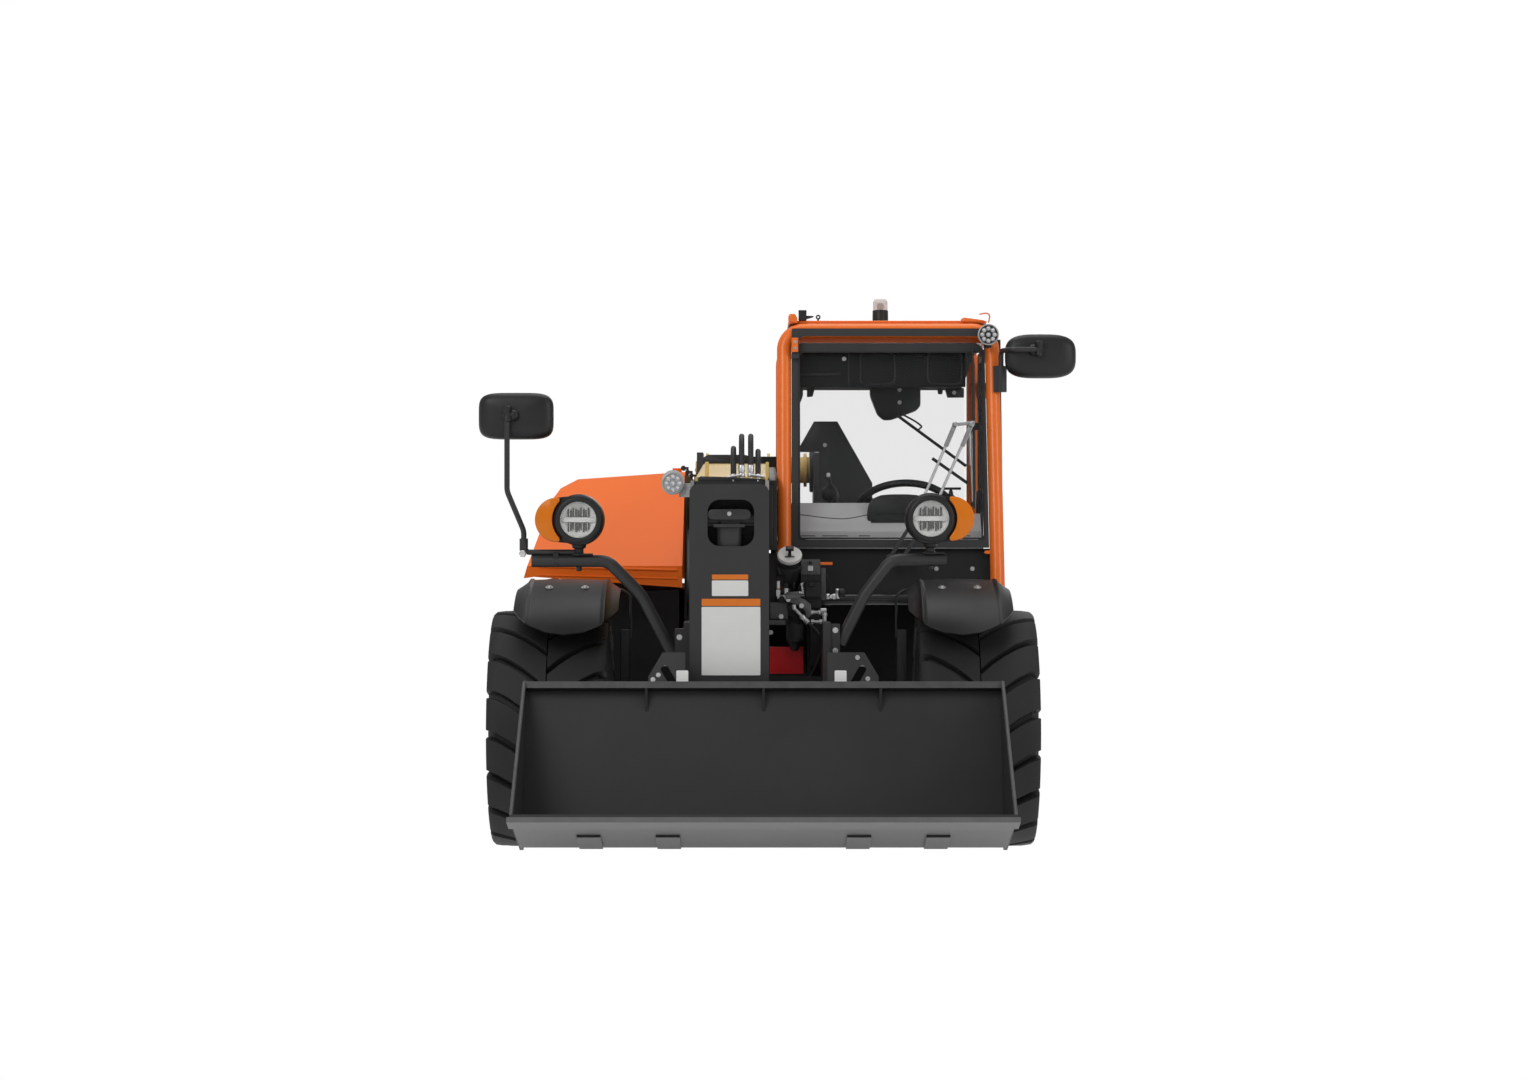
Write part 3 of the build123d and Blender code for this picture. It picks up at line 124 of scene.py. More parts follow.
floor_mesh = bpy.data.meshes.new("studio_floor")
floor_corners = [(x * FLOOR_HALF, y * FLOOR_HALF, 0) for x, y in ((-1, -1), (1, -1), (1, 1), (-1, 1))]
floor_mesh.from_pydata(floor_corners, [], [(0, 1, 2, 3)])
floor = bpy.data.objects.new("studio_floor", floor_mesh)
bpy.context.scene.collection.objects.link(floor)
floor_paint = bpy.data.materials.new("floor_white")
floor_paint.use_nodes = True
floor_paint.node_tree.nodes.clear()
wired(floor_paint.node_tree,
      (("path", "ShaderNodeLightPath"), ("seen", "ShaderNodeMath", "operation", "MAXIMUM"),
       ("glow", "ShaderNodeEmission"),
       ("matt", "ShaderNodeBsdfDiffuse"), ("blend", "ShaderNodeMixShader"),
       ("output", "ShaderNodeOutputMaterial")),
      (("path", "Is Camera Ray", "seen", 0), ("path", "Is Glossy Ray", "seen", 1),
       ("seen", 0, "blend", "Fac"),
       ("matt", 0, "blend", 1), ("glow", 0, "blend", 2), ("blend", 0, "output", "Surface")),
      (("matt", "Color", (0.9, 0.9, 0.9, 1)),))
floor_mesh.materials.append(floor_paint)


# ---------------------------------------------------------------------------------------------
# Hoses to the tool. Four loops of black rubber hose with a braided core stand over the front of the
# boom, from the pipes inside it to the crimped steel fittings on the head's flange.
PATCH_EDGES = (0.32, 0.62)         # where a finish turns from its darker tone to its full one


def surface(name, colour, rough, dark=0.8, patch=6.0, grain=400.0, bump=0.05, rough_span=0.08, metal=0.0,
            sheen=0.0, depth=0.0004, shine=0.35):
    """A finish with patches of a darker tone, uneven gloss and a fine grain in its surface."""
    made = bpy.data.materials.new(name)
    made.use_nodes = True
    tree = made.node_tree
    parts = wired(
        tree,
        (("place", "ShaderNodeTexCoord"), ("clouds", "ShaderNodeTexNoise"), ("tone", "ShaderNodeValToRGB"),
         ("gloss", "ShaderNodeMapRange"), ("fine", "ShaderNodeTexNoise"), ("relief", "ShaderNodeBump")),
        (("place", "Object", "clouds", "Vector"), ("clouds", "Fac", "tone", "Fac"),
         ("tone", "Color", "shader", "Base Color"), ("clouds", "Fac", "gloss", "Value"),
         ("gloss", "Result", "shader", "Roughness"), ("place", "Object", "fine", "Vector"),
         ("fine", "Fac", "relief", "Height"), ("relief", "Normal", "shader", "Normal")),
        (("clouds", "Scale", patch), ("clouds", "Detail", 5.0), ("clouds", "Roughness", 0.6),
         ("gloss", "To Min", rough - rough_span), ("gloss", "To Max", rough + rough_span),
         ("fine", "Scale", grain), ("fine", "Detail", 3.0), ("relief", "Strength", bump),
         ("relief", "Distance", depth), ("shader", "Metallic", metal), ("shader", "Sheen Weight", sheen),
         ("shader", "Specular IOR Level", shine)),
        shader=tree.nodes["Principled BSDF"])
    deep, full = parts["tone"].color_ramp.elements
    deep.position, full.position = PATCH_EDGES
    deep.color = (*[c * dark for c in colour], 1)
    full.color = (*colour, 1)
    return made


hose_rubber = surface("hose_rubber", (0.026, 0.026, 0.027), 0.48, dark=0.8, patch=30.0, grain=900.0,
                      bump=0.2)
HOSE = 0.018                       # diameter
HOSE_REAR, HOSE_FRONT = -0.221, -0.378
HOSE_SHOULDER = 0.045              # how far its top rises over the two shoulders of the loop
HOSE_FOOT, HOSE_TIP = 1.216, 1.236  # heights of its two ends
# Across, height of the top, and length of each loop.
HOSE_LOOPS = ((-0.099, 1.332, 0.316), (-0.072, 1.372, 0.396), (-0.042, 1.372, 0.396), (-0.018, 1.322, 0.296))
for number, (x, top, length) in enumerate(HOSE_LOOPS, 1):
    crown = top + HOSE_SHOULDER / 4
    middle = (HOSE_REAR + HOSE_FRONT) / 2
    route = [(x, HOSE_REAR, HOSE_FOOT), (x, HOSE_REAR, crown - HOSE_SHOULDER), (x, middle, crown),
             (x, HOSE_FRONT, crown - HOSE_SHOULDER), (x, HOSE_FRONT, HOSE_TIP)]
    line = bpy.data.curves.new("hose_%d" % number, "CURVE")
    line.dimensions = "3D"
    spline = line.splines.new("NURBS")
    spline.points.add(len(route) - 1)
    for point, place in zip(spline.points, route):
        point.co = (*at(*place), 1.0)
    spline.order_u = 3
    spline.use_endpoint_u = True
    spline.resolution_u = 16
    line.bevel_depth = HOSE / 2
    line.bevel_resolution = 6
    line.use_fill_caps = True
    line.materials.append(hose_rubber)
    hose = bpy.data.objects.new("hose_%d" % number, line)
    bpy.context.scene.collection.objects.link(hose)
    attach(hose, "inner_boom")
    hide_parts("boom_hoses")


# ---------------------------------------------------------------------------------------------
# Chassis. Two long laser-cut side plates with cross walls between them, welded and sprayed in
# satin charcoal. Dust dulls the paint in patches and the coat has a fine orange peel.
def dress(material, *nodes):
    """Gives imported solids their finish."""
    for name in nodes:
        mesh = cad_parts[name].data
        mesh.materials.clear()
        mesh.materials.append(material)


charcoal_paint = surface("charcoal_paint", (0.036, 0.036, 0.038), 0.42, dark=0.85)
dress(charcoal_paint, "chassis_plates", "chassis_walls", "side_decks", "engine_wall")


# ---------------------------------------------------------------------------------------------
# Axles, knuckles and counterweight. Iron castings with a grainy skin under thick black paint,
# rougher and darker than the plates.
CORNERS = ("fl", "fr", "rl", "rr")
cast_iron = surface("cast_iron", (0.026, 0.026, 0.028), 0.5, dark=0.7, patch=9.0, grain=240.0, bump=0.35,
                    depth=0.0008)
dress(cast_iron, "axle_beams", "counterweight", "rear_fittings", "valve_group",
      *["knuckle_" + corner for corner in CORNERS])


# ---------------------------------------------------------------------------------------------
# Hood and cab tubes. Glossy orange: the hood is a moulded shell with a clear top coat, the cab's
# tubes are sprayed steel.
hood_shell = surface("hood_shell", (0.96, 0.170, 0.012), 0.34, dark=0.95, patch=2.5, grain=150.0, bump=0.02,
                     shine=0.18)
orange_paint = surface("orange_paint", (0.96, 0.190, 0.018), 0.24, dark=0.93, patch=5.0, grain=300.0,
                       bump=0.03, shine=0.45)
dress(hood_shell, "hood")
dress(orange_paint, "cab_roof")


def banded(name, finish, height, low_colour):
    """A copy of a finish that has another colour under a height."""
    made = finish.copy()
    made.name = name
    tree = made.node_tree
    colour = tree.nodes["Principled BSDF"].inputs["Base Color"]
    upper = colour.links[0].from_socket
    parts = wired(
        tree,
        (("place", "ShaderNodeTexCoord"), ("split", "ShaderNodeSeparateXYZ"),
         ("above", "ShaderNodeMath", "operation", "GREATER_THAN"),
         ("mix", "ShaderNodeMix", "data_type", "RGBA")),
        (("place", "Object", "split", 0), ("split", "Z", "above", 0), ("above", 0, "mix", "Factor")),
        (("above", 1, height), ("mix", "A", (*low_colour, 1))))
    tree.links.new(upper, parts["mix"].inputs["B"])
    tree.links.new(parts["mix"].outputs["Result"], colour)
    return made


DIP_TOP = 0.855                    # the cab's tubes are black up to this height
dress(banded("cab_tube_paint", orange_paint, DIP_TOP, (0.02, 0.02, 0.021)), "cab_frame")
dress(charcoal_paint, "guard_plate", "door_frame", "screen_frame")
panel_black = surface("panel_black", (0.020, 0.020, 0.021), 0.5, dark=0.85, patch=5.0, grain=300.0,
                      bump=0.08, shine=0.2)
dress(panel_black, "cab_tub")
guard_grey = surface("guard_grey", (0.11, 0.11, 0.112), 0.5, dark=0.8, patch=30.0, grain=500.0, bump=0.1)


# ---------------------------------------------------------------------------------------------
# Black moulded plastic of the tank, lamp bowls, mirrors, mudguards and controls, with a fine
# leather-like grain.
black_plastic = surface("black_plastic", (0.016, 0.016, 0.017), 0.42, dark=0.8, patch=8.0, grain=700.0,
                        bump=0.12)
grey_plastic = surface("grey_plastic", (0.55, 0.55, 0.555), 0.55, dark=0.92, patch=5.0, grain=600.0,
                       bump=0.1)
lining_plastic = surface("lining_plastic", (0.012, 0.012, 0.013), 0.7, dark=0.8, patch=8.0, grain=700.0,
                         bump=0.12, shine=0.15)
dress(black_plastic, "side_tank", "mudguard_fl", "mudguard_fr", "cab_controls",
      "steering_wheel", "seat_base", "headlamp_housings", "mirror_heads", "cab_lamps")
dress(grey_plastic, "dash_panel", "boom_light")
dress(lining_plastic, "cab_headliner")


# ---------------------------------------------------------------------------------------------
# Boom. Folded and welded steel boxes in cream paint. The head that carries the tool, the barrels of
# the cylinders and the bent arms of lamps and mirrors are sprayed charcoal.
cream_paint = surface("cream_paint", (0.74, 0.53, 0.19), 0.42, dark=0.88, patch=4.0, grain=300.0, bump=0.04,
                      shine=0.25)
dress(cream_paint, "boom_outer", "boom_inner")
dress(charcoal_paint, "boom_head", "head_plate", "coupler", "lift_cylinder", "tilt_cylinder",
      "lamp_arms", "mirror_arms")


# ---------------------------------------------------------------------------------------------
# Bucket. Welded steel plate in black paint that has dulled in use, with a lip of bare worn steel.
# The two keep finishes of their own, since the lip rubs along the ground.
bucket_paint = surface("bucket_paint", (0.030, 0.030, 0.031), 0.50, dark=0.78, patch=3.0, grain=200.0,
                       bump=0.1)
dress(bucket_paint, "bucket")
edge_steel = surface("edge_steel", (0.135, 0.135, 0.137), 0.45, dark=0.85, patch=12.0, grain=300.0, bump=0.2)
dress(edge_steel, "cutting_edge")


# ---------------------------------------------------------------------------------------------
# Rods, engine and battery box. The rods are ground steel that their seals keep bright, the engine
# is bare cast metal low in its tray, and the box is folded steel in red paint.
ground_rod = surface("ground_rod", (0.62, 0.62, 0.64), 0.16, dark=0.92, patch=20.0, grain=900.0, bump=0.02,
                     metal=1.0)
dress(ground_rod, "lift_rod", "tilt_rod")
engine_metal = surface("engine_metal", (0.16, 0.16, 0.17), 0.5, dark=0.7, patch=10.0, grain=200.0, bump=0.3,
                       metal=0.4)
dress(engine_metal, "engine_block")
red_paint = surface("red_paint", (1.0, 0.022, 0.030), 0.35, dark=0.8, patch=14.0, grain=300.0, bump=0.05)
dress(red_paint, "battery_box")


# ---------------------------------------------------------------------------------------------
# Seat, tyres and rims. Black woven cloth over foam, black rubber with a dull skin, and rims sprayed
# charcoal like the chassis.
seat_cloth = surface("seat_cloth", (0.03, 0.03, 0.032), 0.85, dark=0.7, patch=30.0, grain=1500.0, bump=0.4,
                     sheen=0.3)
dress(seat_cloth, "seat_cushions")
rubber = surface("tyre_rubber", (0.021, 0.021, 0.021), 0.62, dark=0.75, patch=5.0, grain=300.0, bump=0.25)
for corner in CORNERS:
    dress(rubber, "tyre_" + corner)
    dress(charcoal_paint, "rim_" + corner)


# ---------------------------------------------------------------------------------------------
# Glass. Flat toughened panes with a faint grey tint, bonded or clamped in their frames, and thin
# moulded lenses on the lamps, clear or amber.
def clear_sheet(name, colour, rough, alpha):
    """A thin clear sheet: mostly see-through, with a sharp shine."""
    made = bpy.data.materials.new(name)
    made.use_nodes = True
    shader = made.node_tree.nodes["Principled BSDF"]
    for socket, value in (("Base Color", (*colour, 1)), ("Roughness", rough), ("Alpha", alpha),
                          ("IOR", 1.35)):
        shader.inputs[socket].default_value = value
    return made


pane_glass = clear_sheet("pane_glass", (0.10, 0.11, 0.11), 0.0, 0.06)
lens_glass = clear_sheet("lens_glass", (0.95, 0.95, 0.95), 0.03, 0.08)
amber_lens = clear_sheet("amber_lens", (0.85, 0.22, 0.01), 0.15, 0.88)
beacon_clear = clear_sheet("beacon_clear", (0.75, 0.75, 0.74), 0.12, 0.55)
dress(pane_glass, "cab_glass", "door_glass")
dress(lens_glass, "headlamp_lenses")
dress(amber_lens, "indicator_lenses")


# ---------------------------------------------------------------------------------------------
# Tyres. Black rubber on an industrial pattern: eighteen broad curved lugs a side, staggered and
# meeting in a slit at the middle, moulded in one with the carcass and its ribbed sidewalls.
def link_piece(name, mesh, body, material):
    """Puts a finished mesh in the scene, riding on a body."""
    piece = bpy.data.objects.new(name, mesh)
    bpy.context.scene.collection.objects.link(piece)
    mesh.materials.clear()
    mesh.materials.append(material)
    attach(piece, body)
    return piece


def grown(name, mesh, inputs, nodes, wires, values, material):
    """A mesh run through a tree of Geometry Nodes with named inputs, as one plain mesh."""
    group = bpy.data.node_groups.new(name + "_tree", "GeometryNodeTree")
    for word, kind, _ in (("Mesh", "NodeSocketGeometry", None), *inputs):
        group.interface.new_socket(word, in_out="INPUT", socket_type=kind)
    group.interface.new_socket("Geometry", in_out="OUTPUT", socket_type="NodeSocketGeometry")
    wired(group,
          (("entry", "NodeGroupInput"), *nodes, ("place", "GeometryNodeInstanceOnPoints"),
           ("real", "GeometryNodeRealizeInstances"), ("coat", "GeometryNodeSetMaterial"),
           ("leave", "NodeGroupOutput")),
          (*wires, ("place", 0, "real", 0), ("real", 0, "coat", "Geometry"), ("coat", 0, "leave", 0)),
          (*values, ("coat", "Material", material)))
    carrier = bpy.data.objects.new(name + "_carrier", mesh)
    bpy.context.scene.collection.objects.link(carrier)
    modifier = carrier.modifiers.new("tree", "NODES")
    modifier.node_group = group
    for socket in group.interface.items_tree:
        for word, _, value in inputs:
            if socket.name == word:
                modifier[socket.identifier] = value
    plain = bpy.data.meshes.new_from_object(carrier.evaluated_get(bpy.context.evaluated_depsgraph_get()))
    bpy.data.objects.remove(carrier)
    return plain


def repeat_round(name, mesh, count, material):
    """A mesh repeated about the X axis."""
    mesh.materials.append(material)
    return grown(name, mesh, (("Count", "NodeSocketInt", count),),
                 (("line", "GeometryNodeMeshLine"), ("index", "GeometryNodeInputIndex"),
                  ("step", "ShaderNodeMath", "operation", "DIVIDE"),
                  ("angle", "ShaderNodeMath", "operation", "MULTIPLY"), ("turn", "ShaderNodeCombineXYZ")),
                 (("entry", "Count", "line", "Count"), ("entry", "Count", "step", 1),
                  ("index", 0, "angle", 0),
                  ("step", 0, "angle", 1), ("angle", 0, "turn", "X"), ("line", "Mesh", "place", "Points"),
                  ("entry", "Mesh", "place", "Instance"), ("turn", 0, "place", "Rotation")),
                 (("line", "Offset", (0, 0, 0)), ("step", 0, 2 * math.pi)), material)


LUGS = 18
TYRE_R = (AXLE_LEFT[1].z - AXLE_LEFT[0].z) / 2
LUG_SWEEP = 0.34                   # how far a lug's inner end trails its shoulder, radians
LUG_CURVE = 1.5                    # how the sweep grows towards the inner end
GROOVE = 0.0165                    # width of the gap between two lugs
GROOVE_TAPER = 0.006               # how much wider the gap is at the shoulder
CARCASS_STEPS = 96
# Points across a lug: how far round from its middle, and how far down its flank.
LUG_EDGE = ((-1.0, 1.0), (-0.955, 0.12), (-0.915, 0.0), (0.0, 0.0), (0.915, 0.0), (0.955, 0.12), (1.0, 1.0))
# Rows of X and drop below the tread, from the middle over the shoulder.
LUG_TOP = ((0.002, 0.0), (0.040, 0.0), (0.080, 0.0008), (0.120, 0.002), (0.160, 0.0045),
           (0.186, 0.008), (0.1955, 0.016), (0.197, 0.034), (0.195, 0.056))
LUG_FOOT = ((0.002, 0.026), (0.040, 0.026), (0.080, 0.0265), (0.120, 0.028), (0.150, 0.030),
            (0.165, 0.033), (0.172, 0.037), (0.177, 0.047), (0.190, 0.058))
CARCASS = ((0.0, 0.026), (0.150, 0.030), (0.168, 0.034), (0.176, 0.044), (0.190, 0.062), (0.1935, 0.085),
           (0.1935, 0.092), (0.1915, 0.094), (0.1915, 0.112), (0.1895, 0.135), (0.183, 0.160),
           (0.176, 0.174), (0.177, 0.180), (0.172, 0.186), (0.163, 0.196), (0.150, 0.203))


def closed_mesh(made, name, soft=0.0, steps=1):
    """The faces built so far as a mesh, turned outwards, with its edges softened where asked."""
    bmesh.ops.recalc_face_normals(made, faces=made.faces)
    if soft > 0:
        bmesh.ops.bevel(made, geom=made.edges[:], offset=soft, segments=steps, affect="EDGES", profile=0.5)
    mesh = bpy.data.meshes.new(name)
    made.to_mesh(mesh)
    made.free()
    return mesh


def bridge(made, near, far):
    """Faces between two rings of points, either of which may be a single point."""
    count = max(len(near), len(far))
    for i in range(count):
        j = (i + 1) % count
        corners = [near[i % len(near)], near[j % len(near)], far[j % len(far)], far[i % len(far)]]
        corners = list(dict.fromkeys(corners))
        if len(corners) > 2:
            made.faces.new(corners)


def lug_mesh(name, flank):
    """One lug from the middle slit over the shoulder, with its draft and softened edges."""
    made = bmesh.new()
    rows = []
    length = LUG_TOP[-3][0]
    for (top_x, top_drop), (foot_x, foot_drop) in zip(LUG_TOP, LUG_FOOT):
        inward = 1 - min(top_x / length, 1.0)
        lean = -LUG_SWEEP * inward ** LUG_CURVE
        half = (2 * math.pi / LUGS - (GROOVE + GROOVE_TAPER * (1 - inward)) / TYRE_R) / 2
        row = []
        for across, sink in LUG_EDGE:
            x = top_x + (foot_x - top_x) * sink
            r = TYRE_R - (top_drop + (foot_drop - top_drop) * sink)
            turn = lean + across * half
            row.append(made.verts.new((flank * x, -r * math.cos(turn), r * math.sin(turn))))
        rows.append(row)
    for near, far in zip(rows, rows[1:]):
        for i in range(len(LUG_EDGE) - 1):
            made.faces.new((near[i], near[i + 1], far[i + 1], far[i]))
    made.faces.new(rows[0])
    made.faces.new(rows[-1])
    for near, far in zip(rows, rows[1:]):
        made.faces.new((near[0], far[0], far[-1], near[-1]))
    return closed_mesh(made, name)


def turned(name, profile, steps):
    """A profile of X and radius turned about the X axis, open at both ends."""
    made = bmesh.new()
    rings = []
    turns = [2 * math.pi * i / steps for i in range(steps)]
    for x, r in profile:
        rings.append([made.verts.new((x, -r * math.cos(turn), r * math.sin(turn))) for turn in turns])
    for near, far in zip(rings, rings[1:]):
        bridge(made, near, far)
    return closed_mesh(made, name)


def gathered(name, meshes):
    """Several meshes as one."""
    made = bmesh.new()
    for part in meshes:
        made.from_mesh(part)
    mesh = bpy.data.meshes.new(name)
    made.to_mesh(mesh)
    made.free()
    return mesh


def shade(mesh, angle=35):
    """Smooth shading that keeps edges sharper than an angle."""
    mesh.polygons.foreach_set("use_smooth", [True] * len(mesh.polygons))
    made = bmesh.new()
    made.from_mesh(mesh)
    for edge in made.edges:
        if len(edge.link_faces) == 2 and edge.calc_face_angle(0.0) > math.radians(angle):
            edge.smooth = False
    made.to_mesh(mesh)
    made.free()
    return mesh


left_row = repeat_round("lugs_left", lug_mesh("lug_left", 1), LUGS, rubber)
right_row = repeat_round("lugs_right", lug_mesh("lug_right", -1), LUGS, rubber)
right_row.transform(Matrix.Rotation(math.pi / LUGS, 4, "X"))
half_tyre = [(x, TYRE_R - drop) for x, drop in CARCASS]
carcass = turned("carcass", [(-x, r) for x, r in reversed(half_tyre)] + half_tyre[1:], CARCASS_STEPS)
tyre_shape = shade(gathered("tyre_shape", (left_row, right_row, carcass)))
for corner in CORNERS:
    low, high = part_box("tyre_" + corner)
    mesh = tyre_shape.copy()
    mesh.transform(Matrix.Translation((low + high) / 2))
    tyre = link_piece("tyre_rubber_" + corner, mesh, "wheel_" + corner, rubber)
    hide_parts("tyre_" + corner)


# ---------------------------------------------------------------------------------------------
# Wheels. Dished steel discs pressed into a rolled rim, painted charcoal, with a drive hub in the
# middle, eight nuts round it, and a valve stem beside the well.
def lathe(name, profile, place, facing, steps=48):
    """A profile of height and radius turned about an axis: closed at both ends, or a ring."""
    made = bmesh.new()
    rings = []
    looped = profile[0] == profile[-1]
    turns = [2 * math.pi * i / steps for i in range(steps)]
    for along, radius in profile[:-1] if looped else profile:
        if radius == 0:
            rings.append([made.verts.new((0, 0, along))])
        else:
            rings.append([made.verts.new((radius * math.cos(t), radius * math.sin(t), along))
                          for t in turns])
    for near, far in zip(rings, rings[1:] + (rings[:1] if looped else [])):
        bridge(made, near, far)
    for ring in (rings[0], rings[-1]):
        if len(ring) > 2 and not looped:
            made.faces.new(ring)
    mesh = closed_mesh(made, name)
    mesh.transform(Vector(facing).to_track_quat("Z", "Y").to_matrix().to_4x4())
    mesh.transform(Matrix.Translation(place))
    return mesh


zinc = surface("zinc_plate", (0.60, 0.60, 0.58), 0.30, dark=0.8, patch=80.0, grain=900.0, bump=0.05,
               metal=0.85)
WASHER_WIDE = 1.55                 # a washer's radius against its bolt's head
WASHER_THICK = 0.003
WASHER_STEPS = 18


def bolts(name, body, places, head, tall):
    """Hexagon bolts on washers at places with the ways they face."""
    mesh = bpy.data.meshes.new(name + "_places")
    mesh.from_pydata([at(*spot) for spot, _ in places], [], [])
    ways = mesh.attributes.new("facing", "FLOAT_VECTOR", "POINT")
    for item, (_, way) in zip(ways.data, places):
        item.vector = Vector(way).normalized()
    made = grown(name, mesh, (("Head", "NodeSocketFloat", head), ("Height", "NodeSocketFloat", tall)),
                 (("hexagon", "GeometryNodeMeshCylinder"), ("washer", "GeometryNodeMeshCylinder"),
                  ("wide", "ShaderNodeMath", "operation", "MULTIPLY"),
                  ("half", "ShaderNodeMath", "operation", "MULTIPLY"),
                  ("lift", "ShaderNodeCombineXYZ"), ("move", "GeometryNodeTransform"),
                  ("both", "GeometryNodeJoinGeometry"),
                  ("facing", "GeometryNodeInputNamedAttribute", "data_type", "FLOAT_VECTOR"),
                  ("turn", "FunctionNodeAlignRotationToVector")),
                 (("entry", "Head", "hexagon", "Radius"), ("entry", "Height", "hexagon", "Depth"),
                  ("entry", "Head", "wide", 0), ("wide", 0, "washer", "Radius"),
                  ("entry", "Height", "half", 0),
                  ("half", 0, "lift", "Z"), ("hexagon", "Mesh", "move", "Geometry"),
                  ("lift", 0, "move", "Translation"), ("move", 0, "both", 0), ("washer", "Mesh", "both", 0),
                  ("facing", "Attribute", "turn", "Vector"), ("entry", "Mesh", "place", "Points"),
                  ("both", 0, "place", "Instance"), ("turn", "Rotation", "place", "Rotation")),
                 (("hexagon", "Vertices", 6), ("washer", "Vertices", WASHER_STEPS),
                  ("washer", "Depth", WASHER_THICK),
                  ("wide", 1, WASHER_WIDE), ("half", 1, 0.5), ("facing", "Name", "facing")), zinc)
    return link_piece(name, made, body, zinc)


satin_steel = surface("satin_steel", (0.45, 0.45, 0.46), 0.32, dark=0.85, patch=50.0, grain=700.0, bump=0.05,
                      metal=0.9)
RIM_OUTSIDE = 0.1895
RIM_PROFILE = ((0.045, 0.0), (0.045, 0.040), (0.041, 0.046), (0.030, 0.046), (0.028, 0.066), (0.020, 0.074),
               (-0.002, 0.076), (-0.003, 0.122), (0.006, 0.132), (0.018, 0.150), (0.030, 0.1585),
               (0.060, 0.1620), (0.066, 0.1700), (0.118, 0.1735), (0.124, 0.1790), (0.140, 0.1800),
               (0.1455, 0.1835), (0.1500, 0.1880), (0.1470, RIM_OUTSIDE), (-0.1470, RIM_OUTSIDE),
               (-0.1500, 0.1880), (-0.1455, 0.1835), (-0.124, 0.1790), (-0.118, 0.1735), (0.010, 0.1700),
               (-0.010, 0.1500), (-0.018, 0.120), (-0.018, 0.075), (-0.058, 0.074), (-0.060, 0.070),
               (-0.060, 0.0462), (-0.0115, 0.0462), (-0.0115, 0.0))
NUTS = 8
NUT_CIRCLE, NUT_DEPTH = 0.099, -0.002      # radius of their circle, and how far out they sit
STEM_DEPTH, STEM_CIRCLE = 0.008, 0.138
WHEEL_STEPS = 72
STEM_PROFILE = ((0, 0), (0, 0.0045), (0.020, 0.0042), (0.022, 0.0030), (0.040, 0.0030), (0.041, 0.0055),
                (0.052, 0.0055), (0.053, 0.0))
for corner, side in zip(CORNERS, (1, -1, 1, -1)):
    low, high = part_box("tyre_" + corner)
    hub = (low + high) / 2
    disc = lathe("disc", RIM_PROFILE, hub, (side, 0, 0), WHEEL_STEPS)
    piece = link_piece("rim_disc_" + corner, shade(disc, 28), "wheel_" + corner, charcoal_paint)
    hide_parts("rim_" + corner)
    spots = []
    for number in range(NUTS):
        turn = 2 * math.pi * number / NUTS
        reach = Vector((NUT_DEPTH * side, NUT_CIRCLE * math.cos(turn), NUT_CIRCLE * math.sin(turn)))
        spots.append((tuple(hub - at(0, 0, 0) + reach), (side, 0, 0)))
    bolts("wheel_nuts_" + corner, "wheel_" + corner, spots, head=0.0125, tall=0.016)
    stem = lathe("stem", STEM_PROFILE, hub + Vector((STEM_DEPTH * side, 0, STEM_CIRCLE)), (side, 0, 0.12),
                 14)
    link_piece("valve_stem_" + corner, stem, "wheel_" + corner, satin_steel)


# ---------------------------------------------------------------------------------------------
# Headlamps. A bowl of black plastic holds a white enamelled dish, with a broad light bar across
# the middle, a row of cooling fins over and under it, and a clear front glass.
def solid_of(name, outline, depth, place, turn=None, soft=0.0):
    """A flat outline in X and Z, thickened along -Y by its depth, with softened edges."""
    made = bmesh.new()
    front = [made.verts.new((x, -depth, z)) for x, z in outline]
    back = [made.verts.new((x, 0.0, z)) for x, z in outline]
    made.faces.new(front)
    made.faces.new(back)
    bridge(made, front, back)
    mesh = closed_mesh(made, name, soft, 2)
    if turn is not None:
        mesh.transform(turn)
    mesh.transform(Matrix.Translation(place))
    return mesh


def box_outline(wide, high, corner=0.0, points=6):
    """A rectangle round the origin, with rounded corners where asked."""
    if corner <= 0:
        return [(-wide / 2, -high / 2), (wide / 2, -high / 2), (wide / 2, high / 2), (-wide / 2, high / 2)]
    outline = []
    for cx, cz, start in ((wide / 2 - corner, high / 2 - corner, 0),
                          (corner - wide / 2, high / 2 - corner, 90),
                          (corner - wide / 2, corner - high / 2, 180),
                          (wide / 2 - corner, corner - high / 2, 270)):
        for i in range(points + 1):
            turn = math.radians(start + 90 * i / points)
            outline.append((cx + corner * math.cos(turn), cz + corner * math.sin(turn)))
    return outline


def group_of(name, meshes, body, material, angle=35):
    """Several meshes of one finish as one piece on a body, left unshaded where the angle is None."""
    mesh = gathered(name, meshes)
    if angle is not None:
        shade(mesh, angle)
    return link_piece(name, mesh, body, material)


chrome = surface("reflector_chrome", (0.80, 0.80, 0.82), 0.16, dark=0.85, patch=60.0, grain=900.0, bump=0.03,
                 metal=1.0, rough_span=0.04)
lamp_white = surface("lamp_white", (0.82, 0.82, 0.80), 0.35, dark=0.95, patch=60.0, grain=900.0, bump=0.03)
fin_grey = surface("fin_grey", (0.10, 0.10, 0.095), 0.4, dark=0.5, patch=120.0, grain=800.0, bump=0.1,
                   metal=0.3)
LAMP_Y = -0.360
